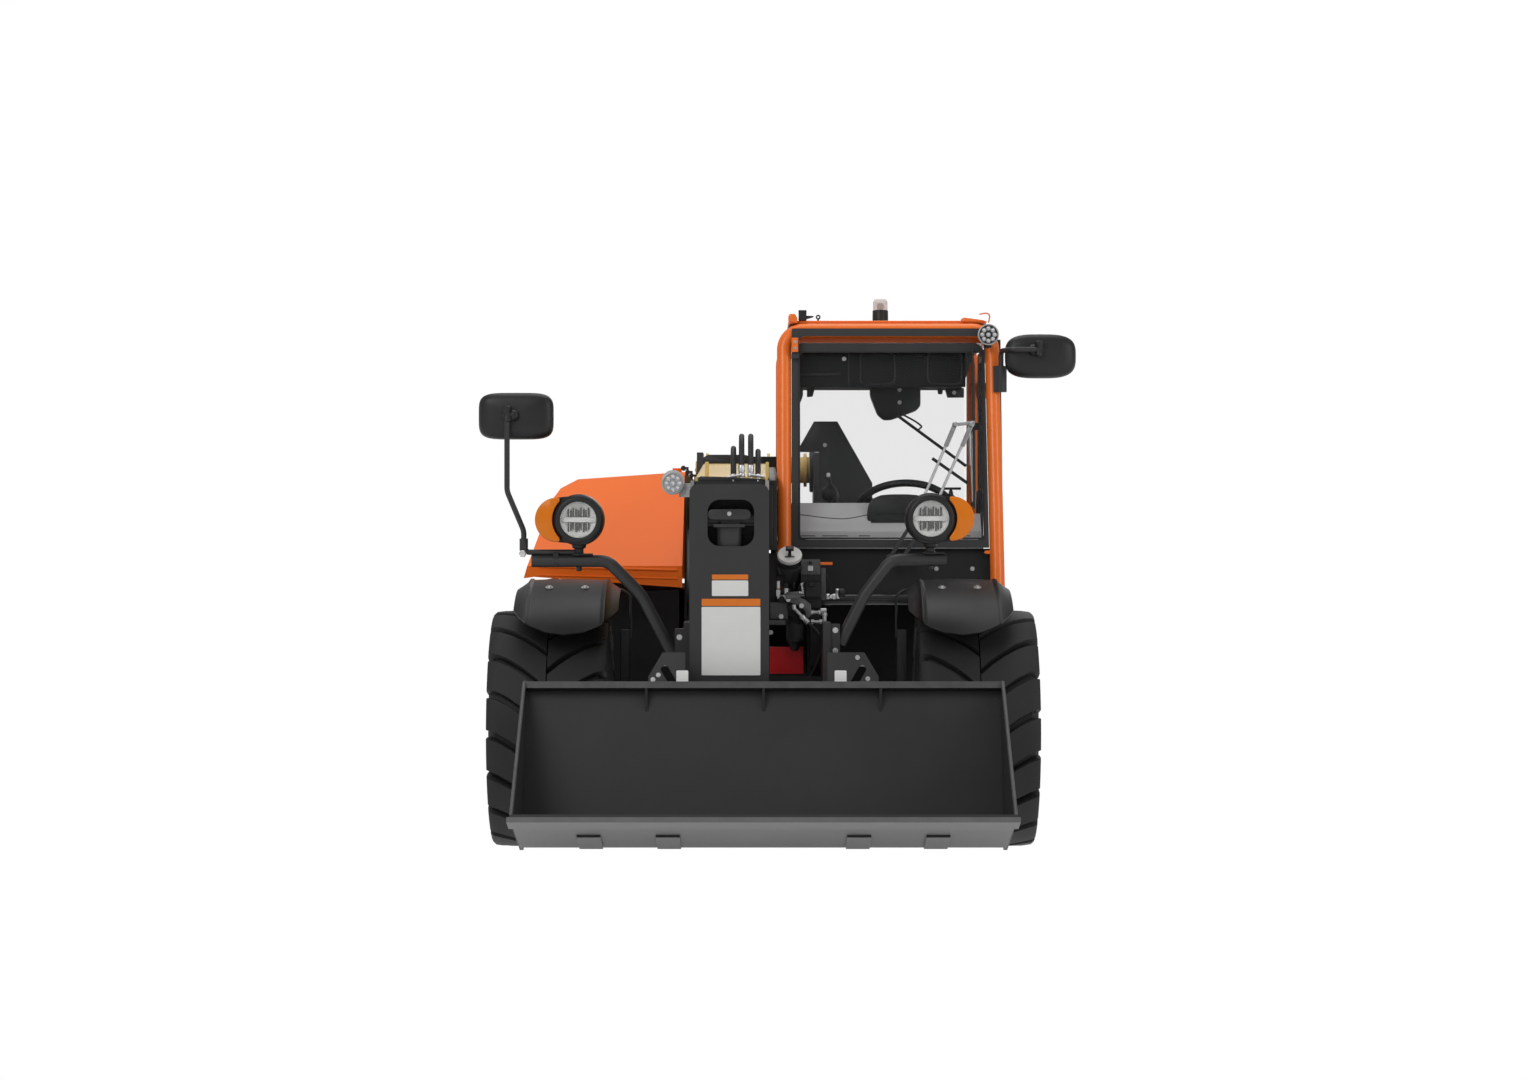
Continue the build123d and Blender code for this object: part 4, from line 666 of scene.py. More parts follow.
# Each headlamp: its side, and its middle across and up.
HEADLAMPS = (("left", -1, -0.605, 1.096), ("right", 1, 0.547, 1.100))
BOWL = ((0.016, 0.0), (0.016, 0.040), (0.024, 0.0540), (0.0385, 0.0655), (0.0410, 0.0600), (0.032, 0.0560),
        (0.025, 0.0440), (0.022, 0.030), (0.022, 0.0))
FINS, FIN_PITCH, FIN_WIDE = 9, 0.0082, 0.0056
DISH_Y = -0.0215                   # how far ahead of its middle a lamp's dish is filled
for word, _, middle_x, middle_z in HEADLAMPS:
    middle = at(middle_x, LAMP_Y, middle_z)
    bowl = lathe("reflector_bowl", BOWL, middle, (0, -1, 0))
    link_piece("reflector_bowl_" + word, shade(bowl), "chassis", lamp_white)
    fins = []
    for row in (-1, 1):
        for k in range(FINS):
            high = 0.021 + 0.008 * ((k * 5 + row) % 3) / 2
            spot = middle + Vector((FIN_PITCH * (k - FINS // 2), DISH_Y, row * (0.0100 + high / 2)))
            fins.append(solid_of("fin", box_outline(FIN_WIDE, high), 0.008, spot))
    group_of("cooling_fins_" + word, fins, "chassis", fin_grey, None)
    bars = [solid_of("bar", box_outline(0.112, 0.0155, 0.003), 0.014, middle + Vector((0, DISH_Y, 0)),
                     soft=0.001)]
    for x in (-0.029, -0.0125, 0.0125, 0.029):
        for z in (-0.024, 0.024):
            bars.append(solid_of("rail", box_outline(0.0016, 0.026), 0.012, middle + Vector((x, DISH_Y, z))))
    group_of("light_bar_" + word, bars, "chassis", lamp_white, None)


# ---------------------------------------------------------------------------------------------
# Work lamps. Two round lamps with a cast alloy rim round a ring of eight small reflector cups and one
# more in the middle; one stands beside the boom head, one at the cab's front corner.
lamp_alloy = surface("lamp_alloy", (0.42, 0.43, 0.42), 0.40, dark=0.8, patch=40.0, grain=600.0, bump=0.1,
                     metal=0.5)
CAB_LAMP = (0.783, 0.33, 1.745)
CUPS, CUP_CIRCLE = 8, 0.0215
CUP = ((0.0, 0.0), (0.0, 0.0073), (0.0035, 0.0078), (0.0035, 0.0066), (0.001, 0.0050), (0.0005, 0.0022),
       (0.0028, 0.0020), (0.0030, 0.0))
LAMP_RIM = ((-0.012, 0.030), (-0.012, 0.0368), (0.004, 0.0368), (0.0052, 0.0350), (0.0052, 0.0325),
            (0.0010, 0.0318), (0.0008, 0.0))
low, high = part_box("boom_light")
BOOM_LAMP_RADIUS = 0.036
boom_lamp = Vector((low.x + BOOM_LAMP_RADIUS, low.y, (low.z + high.z) / 2))
for name, body, middle in (("work_lamp_boom", "inner_boom", boom_lamp),
                           ("work_lamp_cab", "chassis", at(*CAB_LAMP))):
    cups = []
    for k in range(CUPS + 1):
        turn = 2 * math.pi * k / CUPS
        reach = 0.0 if k == CUPS else CUP_CIRCLE
        spot = middle + Vector((reach * math.cos(turn), -0.0012, reach * math.sin(turn)))
        cups.append(lathe("cup", CUP, spot, (0, -1, 0), 20))
    group_of(name + "_cups", cups, body, chrome)
    group_of(name + "_rim", [lathe("rim", LAMP_RIM, middle, (0, -1, 0))], body, lamp_alloy)


# ---------------------------------------------------------------------------------------------
# Headlamp fronts. A domed black bezel is screwed over each bowl's edge, and the amber indicator's
# crescent lens wraps its outboard side.
BEZEL = [(0.0480, 0.0590), (0.0555, 0.0592), (0.0575, 0.0606), (0.0582, 0.0640), (0.0578, 0.0700),
         (0.0545, 0.0765),
         (0.0470, 0.0815), (0.0300, 0.0842), (0.0, 0.0848), (-0.030, 0.0838), (-0.030, 0.0815),
         (0.0300, 0.0810), (0.0470, 0.0600)]
bezels = [lathe("bezel", BEZEL + BEZEL[:1], at(x, LAMP_Y, z), (0, -1, 0), 64) for _, _, x, z in HEADLAMPS]
group_of("lamp_bezels", bezels, "chassis", black_plastic, 60)
EAR_REACH, EAR_RADIUS, LENS_CLEAR, TIP_REACH = 0.0685, 0.0725, 0.0850, 0.0600
EAR_START, EAR_SWEEP, EAR_STEPS, TIP_STEPS = 84, 192, 24, 12
for word, side, middle_x, middle_z in HEADLAMPS:
    outline = []
    for k in range(EAR_STEPS + 1):
        turn = math.radians(EAR_START + EAR_SWEEP * k / EAR_STEPS)
        outline.append((-side * (-EAR_REACH + EAR_RADIUS * math.cos(turn)), EAR_RADIUS * math.sin(turn)))
    tip = math.acos(TIP_REACH / LENS_CLEAR)
    for k in range(TIP_STEPS + 1):
        turn = math.pi + tip - 2 * tip * k / TIP_STEPS
        outline.append((-side * LENS_CLEAR * math.cos(turn), LENS_CLEAR * math.sin(turn)))
    lens = solid_of("lens", outline, 0.020, at(middle_x, LAMP_Y, middle_z) + Vector((0, -0.042, 0)),
                    soft=0.0035)
    group_of("indicator_crescent_" + word, [lens], "chassis", amber_lens, 60)


# ---------------------------------------------------------------------------------------------
# Fasteners on the front. Zinc-plated hexagon bolts on washers, screwed into the cab's lower panel,
# the guard plate, the tool carrier and the feet of the lamp arms on the nose.
nets = {}


def touch(node, start, way):
    """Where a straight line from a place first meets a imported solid, and the way it faces there."""
    if node not in nets:
        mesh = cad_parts[node].data
        nets[node] = BVHTree.FromPolygons([v.co for v in mesh.vertices], [p.vertices for p in mesh.polygons])
    spot, normal, _, _ = nets[node].ray_cast(at(*start), Vector(way))
    return tuple(spot - at(0, 0, 0)), tuple(normal)


AHEAD = (0, 1, 0)
AHEAD_OUT = (0, -1, 0)
FAR_AHEAD = -2.0                   # where a straight line towards the machine starts
FRONT_BOLTS = (
    ("panel_bolts", "chassis", "cab_tub", ((0.600, 0.930), (0.725, 0.930)), 0.0050),
    ("guard_plate_bolts", "chassis", "guard_plate", ((0.236, 1.395),), 0.0050),
    ("coupler_bolts", "tool", "coupler", ((-0.352, 0.586), (-0.335, 0.600), (0.332, 0.588), (0.300, 0.655)),
     0.0050),
    ("nose_bolts", "chassis", "lamp_arms",
     ((-0.275, 0.712), (-0.275, 0.640), (0.235, 0.735), (0.235, 0.668)), 0.0060),
)
for name, body, node, spots, head in FRONT_BOLTS:
    places = [touch(node, (x, FAR_AHEAD, z), AHEAD) for x, z in spots]
    bolts(name, body, places, head=head, tall=head * 0.8)


# ---------------------------------------------------------------------------------------------
# Blank plates. Rolled vinyl stickers on the head's cover, white with an orange band over the
# larger field and a thin dark border, and two small white ones on the tool carrier.
plate_white = surface("plate_white", (0.80, 0.80, 0.79), 0.4, dark=0.97, patch=20.0, grain=500.0, bump=0.02)
band_orange = surface("band_orange", (0.80, 0.20, 0.02), 0.4, dark=0.97, patch=20.0, grain=500.0, bump=0.02)
# Dark of the stickers' printed border; the same dark is also painted shade on the bucket's shoe fronts and
# on the dash's crease and slots.
print_and_shade_dark = surface("print_and_shade_dark", (0.03, 0.03, 0.03), 0.5, dark=0.97, patch=20.0, grain=500.0, bump=0.02)
plate_y = touch("head_plate", (-0.10, FAR_AHEAD, 0.72), AHEAD)[0][1]
for word, left, right, low, high, band in (("large", -0.201, -0.008, 0.593, 0.843, 0.026),
                                           ("small", -0.168, -0.047, 0.848, 0.921, 0.019)):
    middle = ((left + right) / 2, (low + high) / 2)
    under = solid_of("under", box_outline(right - left, high - low, 0.006), 0.0006,
                     at(middle[0], plate_y, middle[1]))
    field = solid_of("field", box_outline(right - left - 0.004, high - low - band - 0.004, 0.003), 0.0004,
                     at(middle[0], plate_y - 0.0006, (low + high - band) / 2))
    strip = solid_of("strip", box_outline(right - left - 0.004, band - 0.003, 0.003), 0.0004,
                     at(middle[0], plate_y - 0.0006, high - band / 2 - 0.0005))
    link_piece("plate_border_" + word, under, "inner_boom", print_and_shade_dark)
    link_piece("plate_field_" + word, field, "inner_boom", plate_white)
    link_piece("plate_band_" + word, strip, "inner_boom", band_orange)
for word, x, z in (("left", -0.2585, 0.595), ("right", 0.2455, 0.595)):
    spot, way = touch("coupler", (x, FAR_AHEAD, z), AHEAD)
    lean = Matrix.Rotation(math.atan2(way[2], -way[1]), 4, "X")
    label = solid_of("label", box_outline(0.038, 0.040, 0.004), 0.0012, at(*spot), turn=lean.inverted())
    link_piece("carrier_label_" + word, label, "tool", plate_white)


# ---------------------------------------------------------------------------------------------
# Wiper of the windscreen: a parallelogram of two arms, black bars below and bright rods above,
# joined by a short link that carries the upright blade.
def pipe_mesh(name, points, radius, smooth=0.35, sides=3):
    """A round bar through points given from the front axle, with eased corners, as a mesh."""
    line = bpy.data.curves.new(name, "CURVE")
    line.dimensions = "3D"
    spline = line.splines.new("BEZIER")
    spline.bezier_points.add(len(points) - 1)
    places = [at(*p) for p in points]
    for i, point in enumerate(spline.bezier_points):
        point.co = places[i]
        before = places[max(i - 1, 0)]
        after = places[min(i + 1, len(places) - 1)]
        along = (after - before).normalized()
        point.handle_left = places[i] - along * (places[i] - before).length * smooth
        point.handle_right = places[i] + along * (after - places[i]).length * smooth
    line.bevel_depth = radius
    line.bevel_resolution = sides
    line.use_fill_caps = True
    carrier = bpy.data.objects.new(name, line)
    mesh = bpy.data.meshes.new_from_object(carrier)
    bpy.data.objects.remove(carrier)
    mesh.polygons.foreach_set("use_smooth", [True] * len(mesh.polygons))
    mesh.materials.clear()
    return mesh


def sleeve(name, start, end, radius, ends=0.0, sides=24):
    """A round plug between two places, with eased ends and a collar at each where asked."""
    a, b = at(*start), at(*end)
    long = (b - a).length
    ease = min(radius * 0.25, long * 0.2)
    profile = [(0, 0), (0, radius - ease), (ease, radius), (long - ease, radius), (long, radius - ease),
               (long, 0)]
    if ends > 0:
        collar = min(0.3 * long, ends * 1.2)
        profile = [(0, 0), (0, ends - ease), (ease, ends), (collar, ends), (collar + ease, radius),
                   (long - collar - ease, radius), (long - collar, ends), (long - ease, ends),
                   (long, ends - ease), (long, 0)]
    return lathe(name, profile, a, b - a, sides)


# The windscreen's foot, and how far back it leans over its height.
SCREEN_FOOT_Y, SCREEN_FOOT_Z, SCREEN_LEAN, SCREEN_HIGH = 0.240, 0.800, 0.180, 0.965


def screen_y(z, ahead=0.0):
    """How far back the raked windscreen lies at a height."""
    return SCREEN_FOOT_Y + SCREEN_LEAN * (z - SCREEN_FOOT_Z) / SCREEN_HIGH - ahead


BAR_EASE = 0.18                    # softening of a flat bar's edges against its thickness


def bar_mesh(name, start, end, wide, thick):
    """A flat bar between two places, wide in the plane of the windscreen."""
    a, b = at(*start), at(*end)
    along = (b - a).normalized()
    across = along.cross(Vector((0, -1, 0))).normalized()
    out = across.cross(along)
    made = bmesh.new()
    near, far = [[made.verts.new(place + across * wide / 2 * sx + out * thick / 2 * sy)
                  for sx, sy in ((-1, -1), (1, -1), (1, 1), (-1, 1))] for place in (a, b)]
    bridge(made, near, far)
    made.faces.new(near)
    made.faces.new(far)
    return closed_mesh(made, name, min(wide, thick) * BAR_EASE)


low_parts, high_parts = [], []
for (x0, z0), (x1, z1), (x2, z2) in (((0.435, 0.968), (0.520, 1.100), (0.665, 1.431)),
                                     ((0.480, 0.968), (0.585, 1.130), (0.722, 1.431))):
    low_parts.append(bar_mesh("low", (x0, screen_y(z0, 0.060), z0), (x1, screen_y(z1, 0.055), z1), 0.013,
                              0.007))
    high_parts.append(pipe_mesh("high", [(x1, screen_y(z1, 0.055), z1), (x2, screen_y(z2, 0.050), z2)],
                                0.0050))
    high_parts.append(bar_mesh("tip", (x2 - 0.032, screen_y(z2 - 0.075, 0.056), z2 - 0.075),
                               (x2, screen_y(z2, 0.056), z2), 0.016, 0.009))
    high_parts.append(lathe("nut", [(0, 0), (0, 0.010), (0.014, 0.010), (0.017, 0.006), (0.017, 0)],
                            at(x2, screen_y(z2, 0.050), z2), (0, -1, 0), 16))
    low_parts.append(lathe("pivot",
                           [(-0.045, 0), (-0.045, 0.010), (0.008, 0.013), (0.010, 0.009), (0.010, 0)],
                           at(x0, screen_y(z0, 0.060), z0), (0, -1, 0), 20))
high_parts.append(bar_mesh("link", (0.660, screen_y(1.431, 0.045), 1.431),
                           (0.735, screen_y(1.438, 0.045), 1.438), 0.012, 0.006))
group_of("wiper_bars", low_parts, "chassis", charcoal_paint, None)
group_of("wiper_rods", high_parts, "chassis", satin_steel, None)
blade = [bar_mesh("blade", (0.731, screen_y(1.14, 0.017), 1.14), (0.731, screen_y(1.70, 0.017), 1.70), 0.007,
                  0.016),
         bar_mesh("spine", (0.731, screen_y(1.20, 0.031), 1.20), (0.731, screen_y(1.64, 0.031), 1.64), 0.010,
                  0.005)]
group_of("wiper_blade", blade, "chassis", hose_rubber, None)


# ---------------------------------------------------------------------------------------------
# Rear window's wiper. A moulded black cover over the motor hangs from the lining, with a bent steel
# arm, its spring and a flat blade.
cover = solid_of("cover",
                 [(-0.128, 0.062), (-0.128, 0.020), (-0.100, -0.052), (-0.075, -0.072), (-0.045, -0.070),
                  (0.048, -0.036), (0.062, -0.020), (0.064, -0.010), (0.064, 0.062)], 0.055,
                 at(0.532, 1.440, 1.556), soft=0.008)
group_of("rear_wiper_cover", [cover], "chassis", black_plastic)
arm = [pipe_mesh("arm", [(0.506, 1.380, 1.503), (0.768, 1.372, 1.310)], 0.0060),
       pipe_mesh("arm_spring", [(0.524, 1.374, 1.508), (0.598, 1.374, 1.462), (0.588, 1.374, 1.448)],
                 0.0036),
       bar_mesh("rear_blade", (0.640, 1.392, 1.340), (0.775, 1.392, 1.245), 0.012, 0.006)]
group_of("rear_wiper_arm", arm, "chassis", charcoal_paint, None)


# ---------------------------------------------------------------------------------------------
# Front mudguards. Moulded black plastic shells with a raised rib along each side of the crown and
# a rounded lip, bolted to a bent rod that stands in a post on the steering knuckle.
GUARD_SECTION = ((-0.174, 0.470), (-0.152, 0.4845), (-0.1375, 0.4955), (-0.1345, 0.5010), (-0.1305, 0.5060),
                 (-0.1235, 0.5060), (-0.1195, 0.5025), (-0.1130, 0.5020), (-0.060, 0.5042), (0.0, 0.5052),
                 (0.060, 0.5042), (0.1130, 0.5020), (0.1195, 0.5025), (0.1235, 0.5060), (0.1305, 0.5060),
                 (0.1345, 0.5010), (0.1375, 0.4955), (0.152, 0.4845), (0.174, 0.470))
GUARD_WALL = 0.005
GUARD_LIP, GUARD_LIP_Z = 0.236, 0.957      # radius of its rounded front edge and that arc's centre height
AXLE_Z = 0.3935
GUARD_STEPS = 22
GUARD_END = 95                     # where the shell ends behind the top of the tyre, degrees
GUARD_X = 0.655                    # across to the middle of a mudguard
GUARD_WASHER_RADIUS = 0.5048
GUARD_BOLT_TURN = 71               # where the bolts sit on the crown, degrees up from the front


def mudguard_mesh(name, centre):
    """The shell over a tyre's front, as a closed wall."""
    made = bmesh.new()
    skins = []
    for wall in (0.0, GUARD_WALL):
        rows = []
        for x, radius in GUARD_SECTION:
            low_z = GUARD_LIP_Z - math.sqrt(GUARD_LIP ** 2 - x * x)
            first = math.asin((low_z - AXLE_Z) / radius)
            row = []
            for k in range(GUARD_STEPS + 1):
                turn = first + (math.radians(GUARD_END) - first) * k / GUARD_STEPS
                reach = radius - wall
                row.append(made.verts.new(at(centre + x, -reach * math.cos(turn),
                                             AXLE_Z + reach * math.sin(turn))))
            rows.append(row)
        skins.append(rows)
    for rows in skins:
        for near, far in zip(rows, rows[1:]):
            for k in range(GUARD_STEPS):
                made.faces.new((near[k], near[k + 1], far[k + 1], far[k]))
    upper, lower = skins
    for i in range(len(upper) - 1):
        for k in (0, GUARD_STEPS):
            made.faces.new((upper[i][k], upper[i + 1][k], lower[i + 1][k], lower[i][k]))
    for i in (0, len(upper) - 1):
        for k in range(GUARD_STEPS):
            made.faces.new((upper[i][k], upper[i][k + 1], lower[i][k + 1], lower[i][k]))
    return closed_mesh(made, name)


guard_plastic = surface("guard_plastic", (0.008, 0.008, 0.0082), 0.42, dark=0.85, patch=8.0, grain=900.0,
                        bump=0.08, shine=0.30)
for corner, side in (("fr", -1), ("fl", 1)):
    body = "knuckle_" + corner
    shell = link_piece("mudguard_shell_" + corner, shade(mudguard_mesh("shell", side * GUARD_X), 50), body,
                       guard_plastic)
    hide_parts("mudguard_" + corner)
    stay_x = side * 0.449
    post = solid_of("post", box_outline(0.034, 0.236, 0.004), 0.036, at(side * 0.468, 0.018, 0.609),
                    soft=0.003)
    foot = solid_of("foot", [(-side * 0.018, -0.010), (side * 0.135, -0.010), (side * 0.135, 0.004),
                             (-side * 0.018, 0.004)], 0.040, at(side * 0.465, 0.020, 0.500), soft=0.002)
    rod = pipe_mesh("rod", [(stay_x, 0.0, 0.700), (stay_x, 0.0, 0.800), (stay_x, -0.004, 0.836),
                            (side * 0.460, -0.006, 0.850), (side * 0.482, -0.008, 0.862),
                            (side * 0.640, -0.010, 0.889)],
                    0.0045, smooth=0.3)
    strap = solid_of("strap", box_outline(0.220, 0.005, 0.002), 0.030, at(side * GUARD_X, 0.005, 0.8895),
                     soft=0.001)
    group_of("mudguard_stay_" + corner, [post, foot, rod, strap], body, charcoal_paint)
    washers = []
    turn = math.radians(GUARD_BOLT_TURN)
    for reach in (-0.0595, 0.0595):
        x = side * GUARD_X + reach
        spot = at(x, -GUARD_WASHER_RADIUS * math.cos(turn), AXLE_Z + GUARD_WASHER_RADIUS * math.sin(turn))
        way = (0, -math.cos(turn), math.sin(turn))
        washers.append(lathe("washer",
                             [(0, 0.0), (0, 0.0130), (0.0018, 0.0130), (0.0018, 0.0075), (0.0062, 0.0068),
                              (0.0070, 0.0)], spot, way, 24))
    group_of("mudguard_bolts_" + corner, washers, body, zinc)


# ---------------------------------------------------------------------------------------------
# Valve group between the boom and the cab. A cast body with its solenoids, plated steel elbows and
# tees, formed lines to the cylinders, a spin-on filter and the brake reservoir with its bright cap.
valve_cast = surface("valve_cast", (0.20, 0.20, 0.205), 0.5, dark=0.7, patch=40.0, grain=300.0, bump=0.35,
                     metal=0.5, depth=0.0006)
bright_steel = surface("bright_steel", (0.72, 0.72, 0.73), 0.30, dark=0.85, patch=60.0, grain=800.0,
                       bump=0.05, metal=0.75)
VALVE_Y = 0.058
outline = ((0.077, 0.853), (0.119, 0.856), (0.119, 0.835), (0.141, 0.828), (0.162, 0.811), (0.162, 0.773),
           (0.148, 0.762), (0.141, 0.787), (0.124, 0.807), (0.077, 0.821))
casting = [solid_of("casting", outline, 0.030, at(0, VALVE_Y, 0), soft=0.003),
           solid_of("spool", box_outline(0.050, 0.016, 0.004), 0.014, at(0.100, VALVE_Y - 0.028, 0.838),
                    soft=0.002),
           sleeve("bank", (0.050, 0.082, 0.812), (0.120, 0.082, 0.812), 0.011, 0.014)]
group_of("valve_casting", casting, "chassis", valve_cast)
steel = [sleeve("elbow_up", (0.051, 0.052, 0.891), (0.051, 0.052, 0.864), 0.0055),
         sleeve("elbow_nut", (0.051, 0.052, 0.862), (0.051, 0.052, 0.838), 0.0080),
         sleeve("elbow_turn", (0.046, 0.052, 0.837), (0.077, 0.052, 0.837), 0.0065, 0.0085),
         sleeve("port_a", (0.078, 0.045, 0.867), (0.078, 0.045, 0.846), 0.0075),
         sleeve("port_b", (0.119, 0.045, 0.850), (0.138, 0.045, 0.850), 0.0055, 0.0070),
         sleeve("port_c", (0.135, 0.045, 0.850), (0.131, 0.045, 0.884), 0.0050, 0.0065),
         sleeve("angle_top", (0.103, 0.030, 0.812), (0.105, 0.030, 0.793), 0.0075),
         sleeve("angle_run", (0.105, 0.030, 0.797), (0.130, 0.028, 0.771), 0.0060),
         sleeve("angle_end", (0.128, 0.028, 0.773), (0.152, 0.026, 0.748), 0.0082, 0.0095),
         sleeve("tee_top", (0.160, 0.040, 0.785), (0.197, 0.040, 0.785), 0.0055, 0.0085),
         sleeve("tee_low", (0.160, 0.040, 0.753), (0.200, 0.040, 0.753), 0.0055, 0.0085),
         sleeve("tee_block", (0.192, 0.038, 0.791), (0.214, 0.038, 0.791), 0.0080),
         sleeve("tee_post", (0.207, 0.038, 0.784), (0.207, 0.038, 0.717), 0.0075, 0.0090),
         sleeve("side_port", (0.214, 0.070, 0.838), (0.246, 0.070, 0.838), 0.0065, 0.0095),
         sleeve("side_turn", (0.252, 0.070, 0.864), (0.252, 0.070, 0.830), 0.0075, 0.0085)]
group_of("valve_fittings", steel, "chassis", bright_steel)
cap_lean = math.radians(42)
CAP_FOOT = 0.926                   # height of the reservoir's foot
cap_way = (0.0, -math.sin(cap_lean), math.cos(cap_lean))
cap_face = Vector((0.089, 0.105 - 0.074 * math.sin(cap_lean), CAP_FOOT + 0.074 * math.cos(cap_lean)))
cap = lathe("cap", [(-0.012, 0.0), (-0.012, 0.0415), (-0.004, 0.0425), (0.0, 0.0415), (0.0015, 0.0395),
                    (0.0015, 0.036), (0.0005, 0.034), (0.0005, 0.0)], at(*cap_face), cap_way, 48)
group_of("reservoir_cap", [cap], "chassis", lamp_white)
grip_place = at(*cap_face)
turn = Matrix.Rotation(cap_lean - math.radians(90), 4, "X")
grip = [solid_of("grip", box_outline(0.027, 0.016, 0.003), 0.010, grip_place + Vector((0, -0.004, 0.016)),
                 turn, 0.002),
        solid_of("stem", box_outline(0.010, 0.024, 0.002), 0.008, grip_place + Vector((0, -0.004, 0.002)),
                 turn, 0.002),
        solid_of("tab", box_outline(0.034, 0.008, 0.002), 0.006, grip_place + Vector((0, -0.006, -0.012)),
                 turn, 0.002)]
bellows = []
for step in range(4):
    along = 0.062 - 0.012 * step
    place = at(0.089, 0.105 - along * math.sin(cap_lean), CAP_FOOT + along * math.cos(cap_lean))
    bellows.append(lathe("ring", [(-0.0045, 0.030), (-0.0030, 0.0385), (0.0, 0.0400), (0.0030, 0.0385),
                                  (0.0045, 0.030)],
                         place, cap_way, 40))
bellows.append(sleeve("rod", (0.103, 0.066, 0.860), (0.103, 0.074, 0.950), 0.0055))
bellows.append(sleeve("rod", (0.078, 0.068, 0.850), (0.078, 0.078, 0.950), 0.0080))
lines = [pipe_mesh("line_a", [(0.152, 0.026, 0.748), (0.183, 0.024, 0.717), (0.197, 0.022, 0.679),
                              (0.190, 0.022, 0.630), (0.148, 0.024, 0.546)], 0.0055),
         pipe_mesh("line_b", [(0.207, 0.038, 0.720), (0.206, 0.040, 0.665), (0.196, 0.048, 0.600)], 0.0060),
         pipe_mesh("line_c", [(0.051, 0.052, 0.889), (0.052, 0.060, 0.905), (0.062, 0.072, 0.912)], 0.0040),
         pipe_mesh("line_d", [(0.214, 0.046, 0.915), (0.228, 0.044, 0.877), (0.230, 0.050, 0.849),
                              (0.222, 0.060, 0.838)],
                   0.0013),
         sleeve("can", (0.1065, 0.062, 0.752), (0.1065, 0.062, 0.684), 0.0300),
         sleeve("can_nut", (0.1065, 0.060, 0.690), (0.1065, 0.060, 0.660), 0.0110),
         sleeve("switch", (0.256, 0.070, 0.849), (0.277, 0.070, 0.849), 0.0170)]
group_of("reservoir_grip", grip + bellows, "chassis", black_plastic)
group_of("valve_lines", lines, "chassis", hose_rubber)
plates = [solid_of("plate", box_outline(0.059, 0.056, 0.003), 0.004, at(0.0525, 0.050, 0.790), soft=0.0008),
          solid_of("step", box_outline(0.056, 0.018, 0.003), 0.010, at(0.047, 0.060, 0.750), soft=0.0008),
          solid_of("bracket", box_outline(0.066, 0.052, 0.003), 0.006, at(0.160, 0.060, 0.938), soft=0.001),
          solid_of("stay", box_outline(0.016, 0.110, 0.002), 0.004, at(0.204, 0.064, 0.880), soft=0.001)]
group_of("valve_brackets", plates, "chassis", guard_grey)
coil = [solid_of("coil", box_outline(0.055, 0.052, 0.005), 0.030, at(0.168, 0.050, 0.860), soft=0.004),
        solid_of("plug", box_outline(0.022, 0.014, 0.002), 0.010, at(0.163, 0.022, 0.880), soft=0.002),
        solid_of("plug", box_outline(0.010, 0.010, 0.002), 0.010, at(0.160, 0.052, 0.952), soft=0.002)]
group_of("valve_coils", coil, "chassis", black_plastic)
label = solid_of("label", box_outline(0.017, 0.017, 0.002), 0.0008, at(0.160, 0.0535, 0.934))
group_of("bracket_label", [label], "chassis", plate_white)
strip = solid_of("strip", box_outline(0.042, 0.010, 0.002), 0.003, at(0.214, 0.055, 0.950), soft=0.0006)
group_of("valve_strip", [strip], "chassis", orange_paint)
bolts("valve_bolts", "chassis", [((0.025, 0.160, 0.856), AHEAD_OUT), ((0.025, 0.160, 0.713), AHEAD_OUT),
                                 ((0.084, VALVE_Y - 0.030, 0.828), AHEAD_OUT),
                                 ((0.129, VALVE_Y - 0.030, 0.807), AHEAD_OUT),
                                 ((0.060, 0.046, 0.770), AHEAD_OUT)], head=0.0052, tall=0.006)


# ---------------------------------------------------------------------------------------------
# Lamp mounts. Each headlamp stands on a rubber-collared neck bolted through the arm, and the left
# arm's end carries the mirror's bar in a clamp with plated nuts.
ARM_DROP = 0.115                   # from a lamp's middle to its arm
necks = []
for _, _, x, lamp_z in HEADLAMPS:
    arm_z = lamp_z - ARM_DROP
    necks.append(lathe("neck", [(0, 0.0), (0, 0.0235), (0.004, 0.0250), (0.007, 0.0235), (0.009, 0.0150),
                                (0.022, 0.0150), (0.026, 0.0225), (0.034, 0.0240), (0.040, 0.0215),
                                (0.040, 0.0)],
                       at(x, LAMP_Y, arm_z - 0.002), (0, 0, 1), 32))
    necks.append(lathe("neck_nut", [(0, 0.0), (0, 0.0095), (0.010, 0.0095), (0.012, 0.0075), (0.014, 0.0)],
                       at(x, LAMP_Y, arm_z - 0.040), (0, 0, -1), 6))
    necks.append(solid_of("neck_plate", box_outline(0.066, 0.006, 0.002), 0.044,
                          at(x + 0.012, LAMP_Y + 0.022, arm_z + 0.002), soft=0.001))
necks.append(solid_of("bar_seat", box_outline(0.018, 0.044, 0.002), 0.038, at(-0.680, LAMP_Y + 0.019, 0.966),
                      soft=0.002))
group_of("lamp_necks", necks, "chassis", black_plastic, 30)
nuts = [lathe("nut",
              [(0, 0.0), (0, 0.0125), (0.002, 0.0140), (0.017, 0.0140), (0.019, 0.0120), (0.0205, 0.0)],
              at(-0.786, LAMP_Y, 1.000), (0, 0, 1), 6),
        lathe("nut_low",
              [(0, 0.0), (0, 0.0110), (0.002, 0.0125), (0.014, 0.0125), (0.016, 0.0100), (0.0165, 0.0)],
              at(-0.788, LAMP_Y - 0.014, 0.985), (0, -1, 0), 6)]
group_of("mirror_bar_nuts", nuts, "chassis", bright_steel, 30)
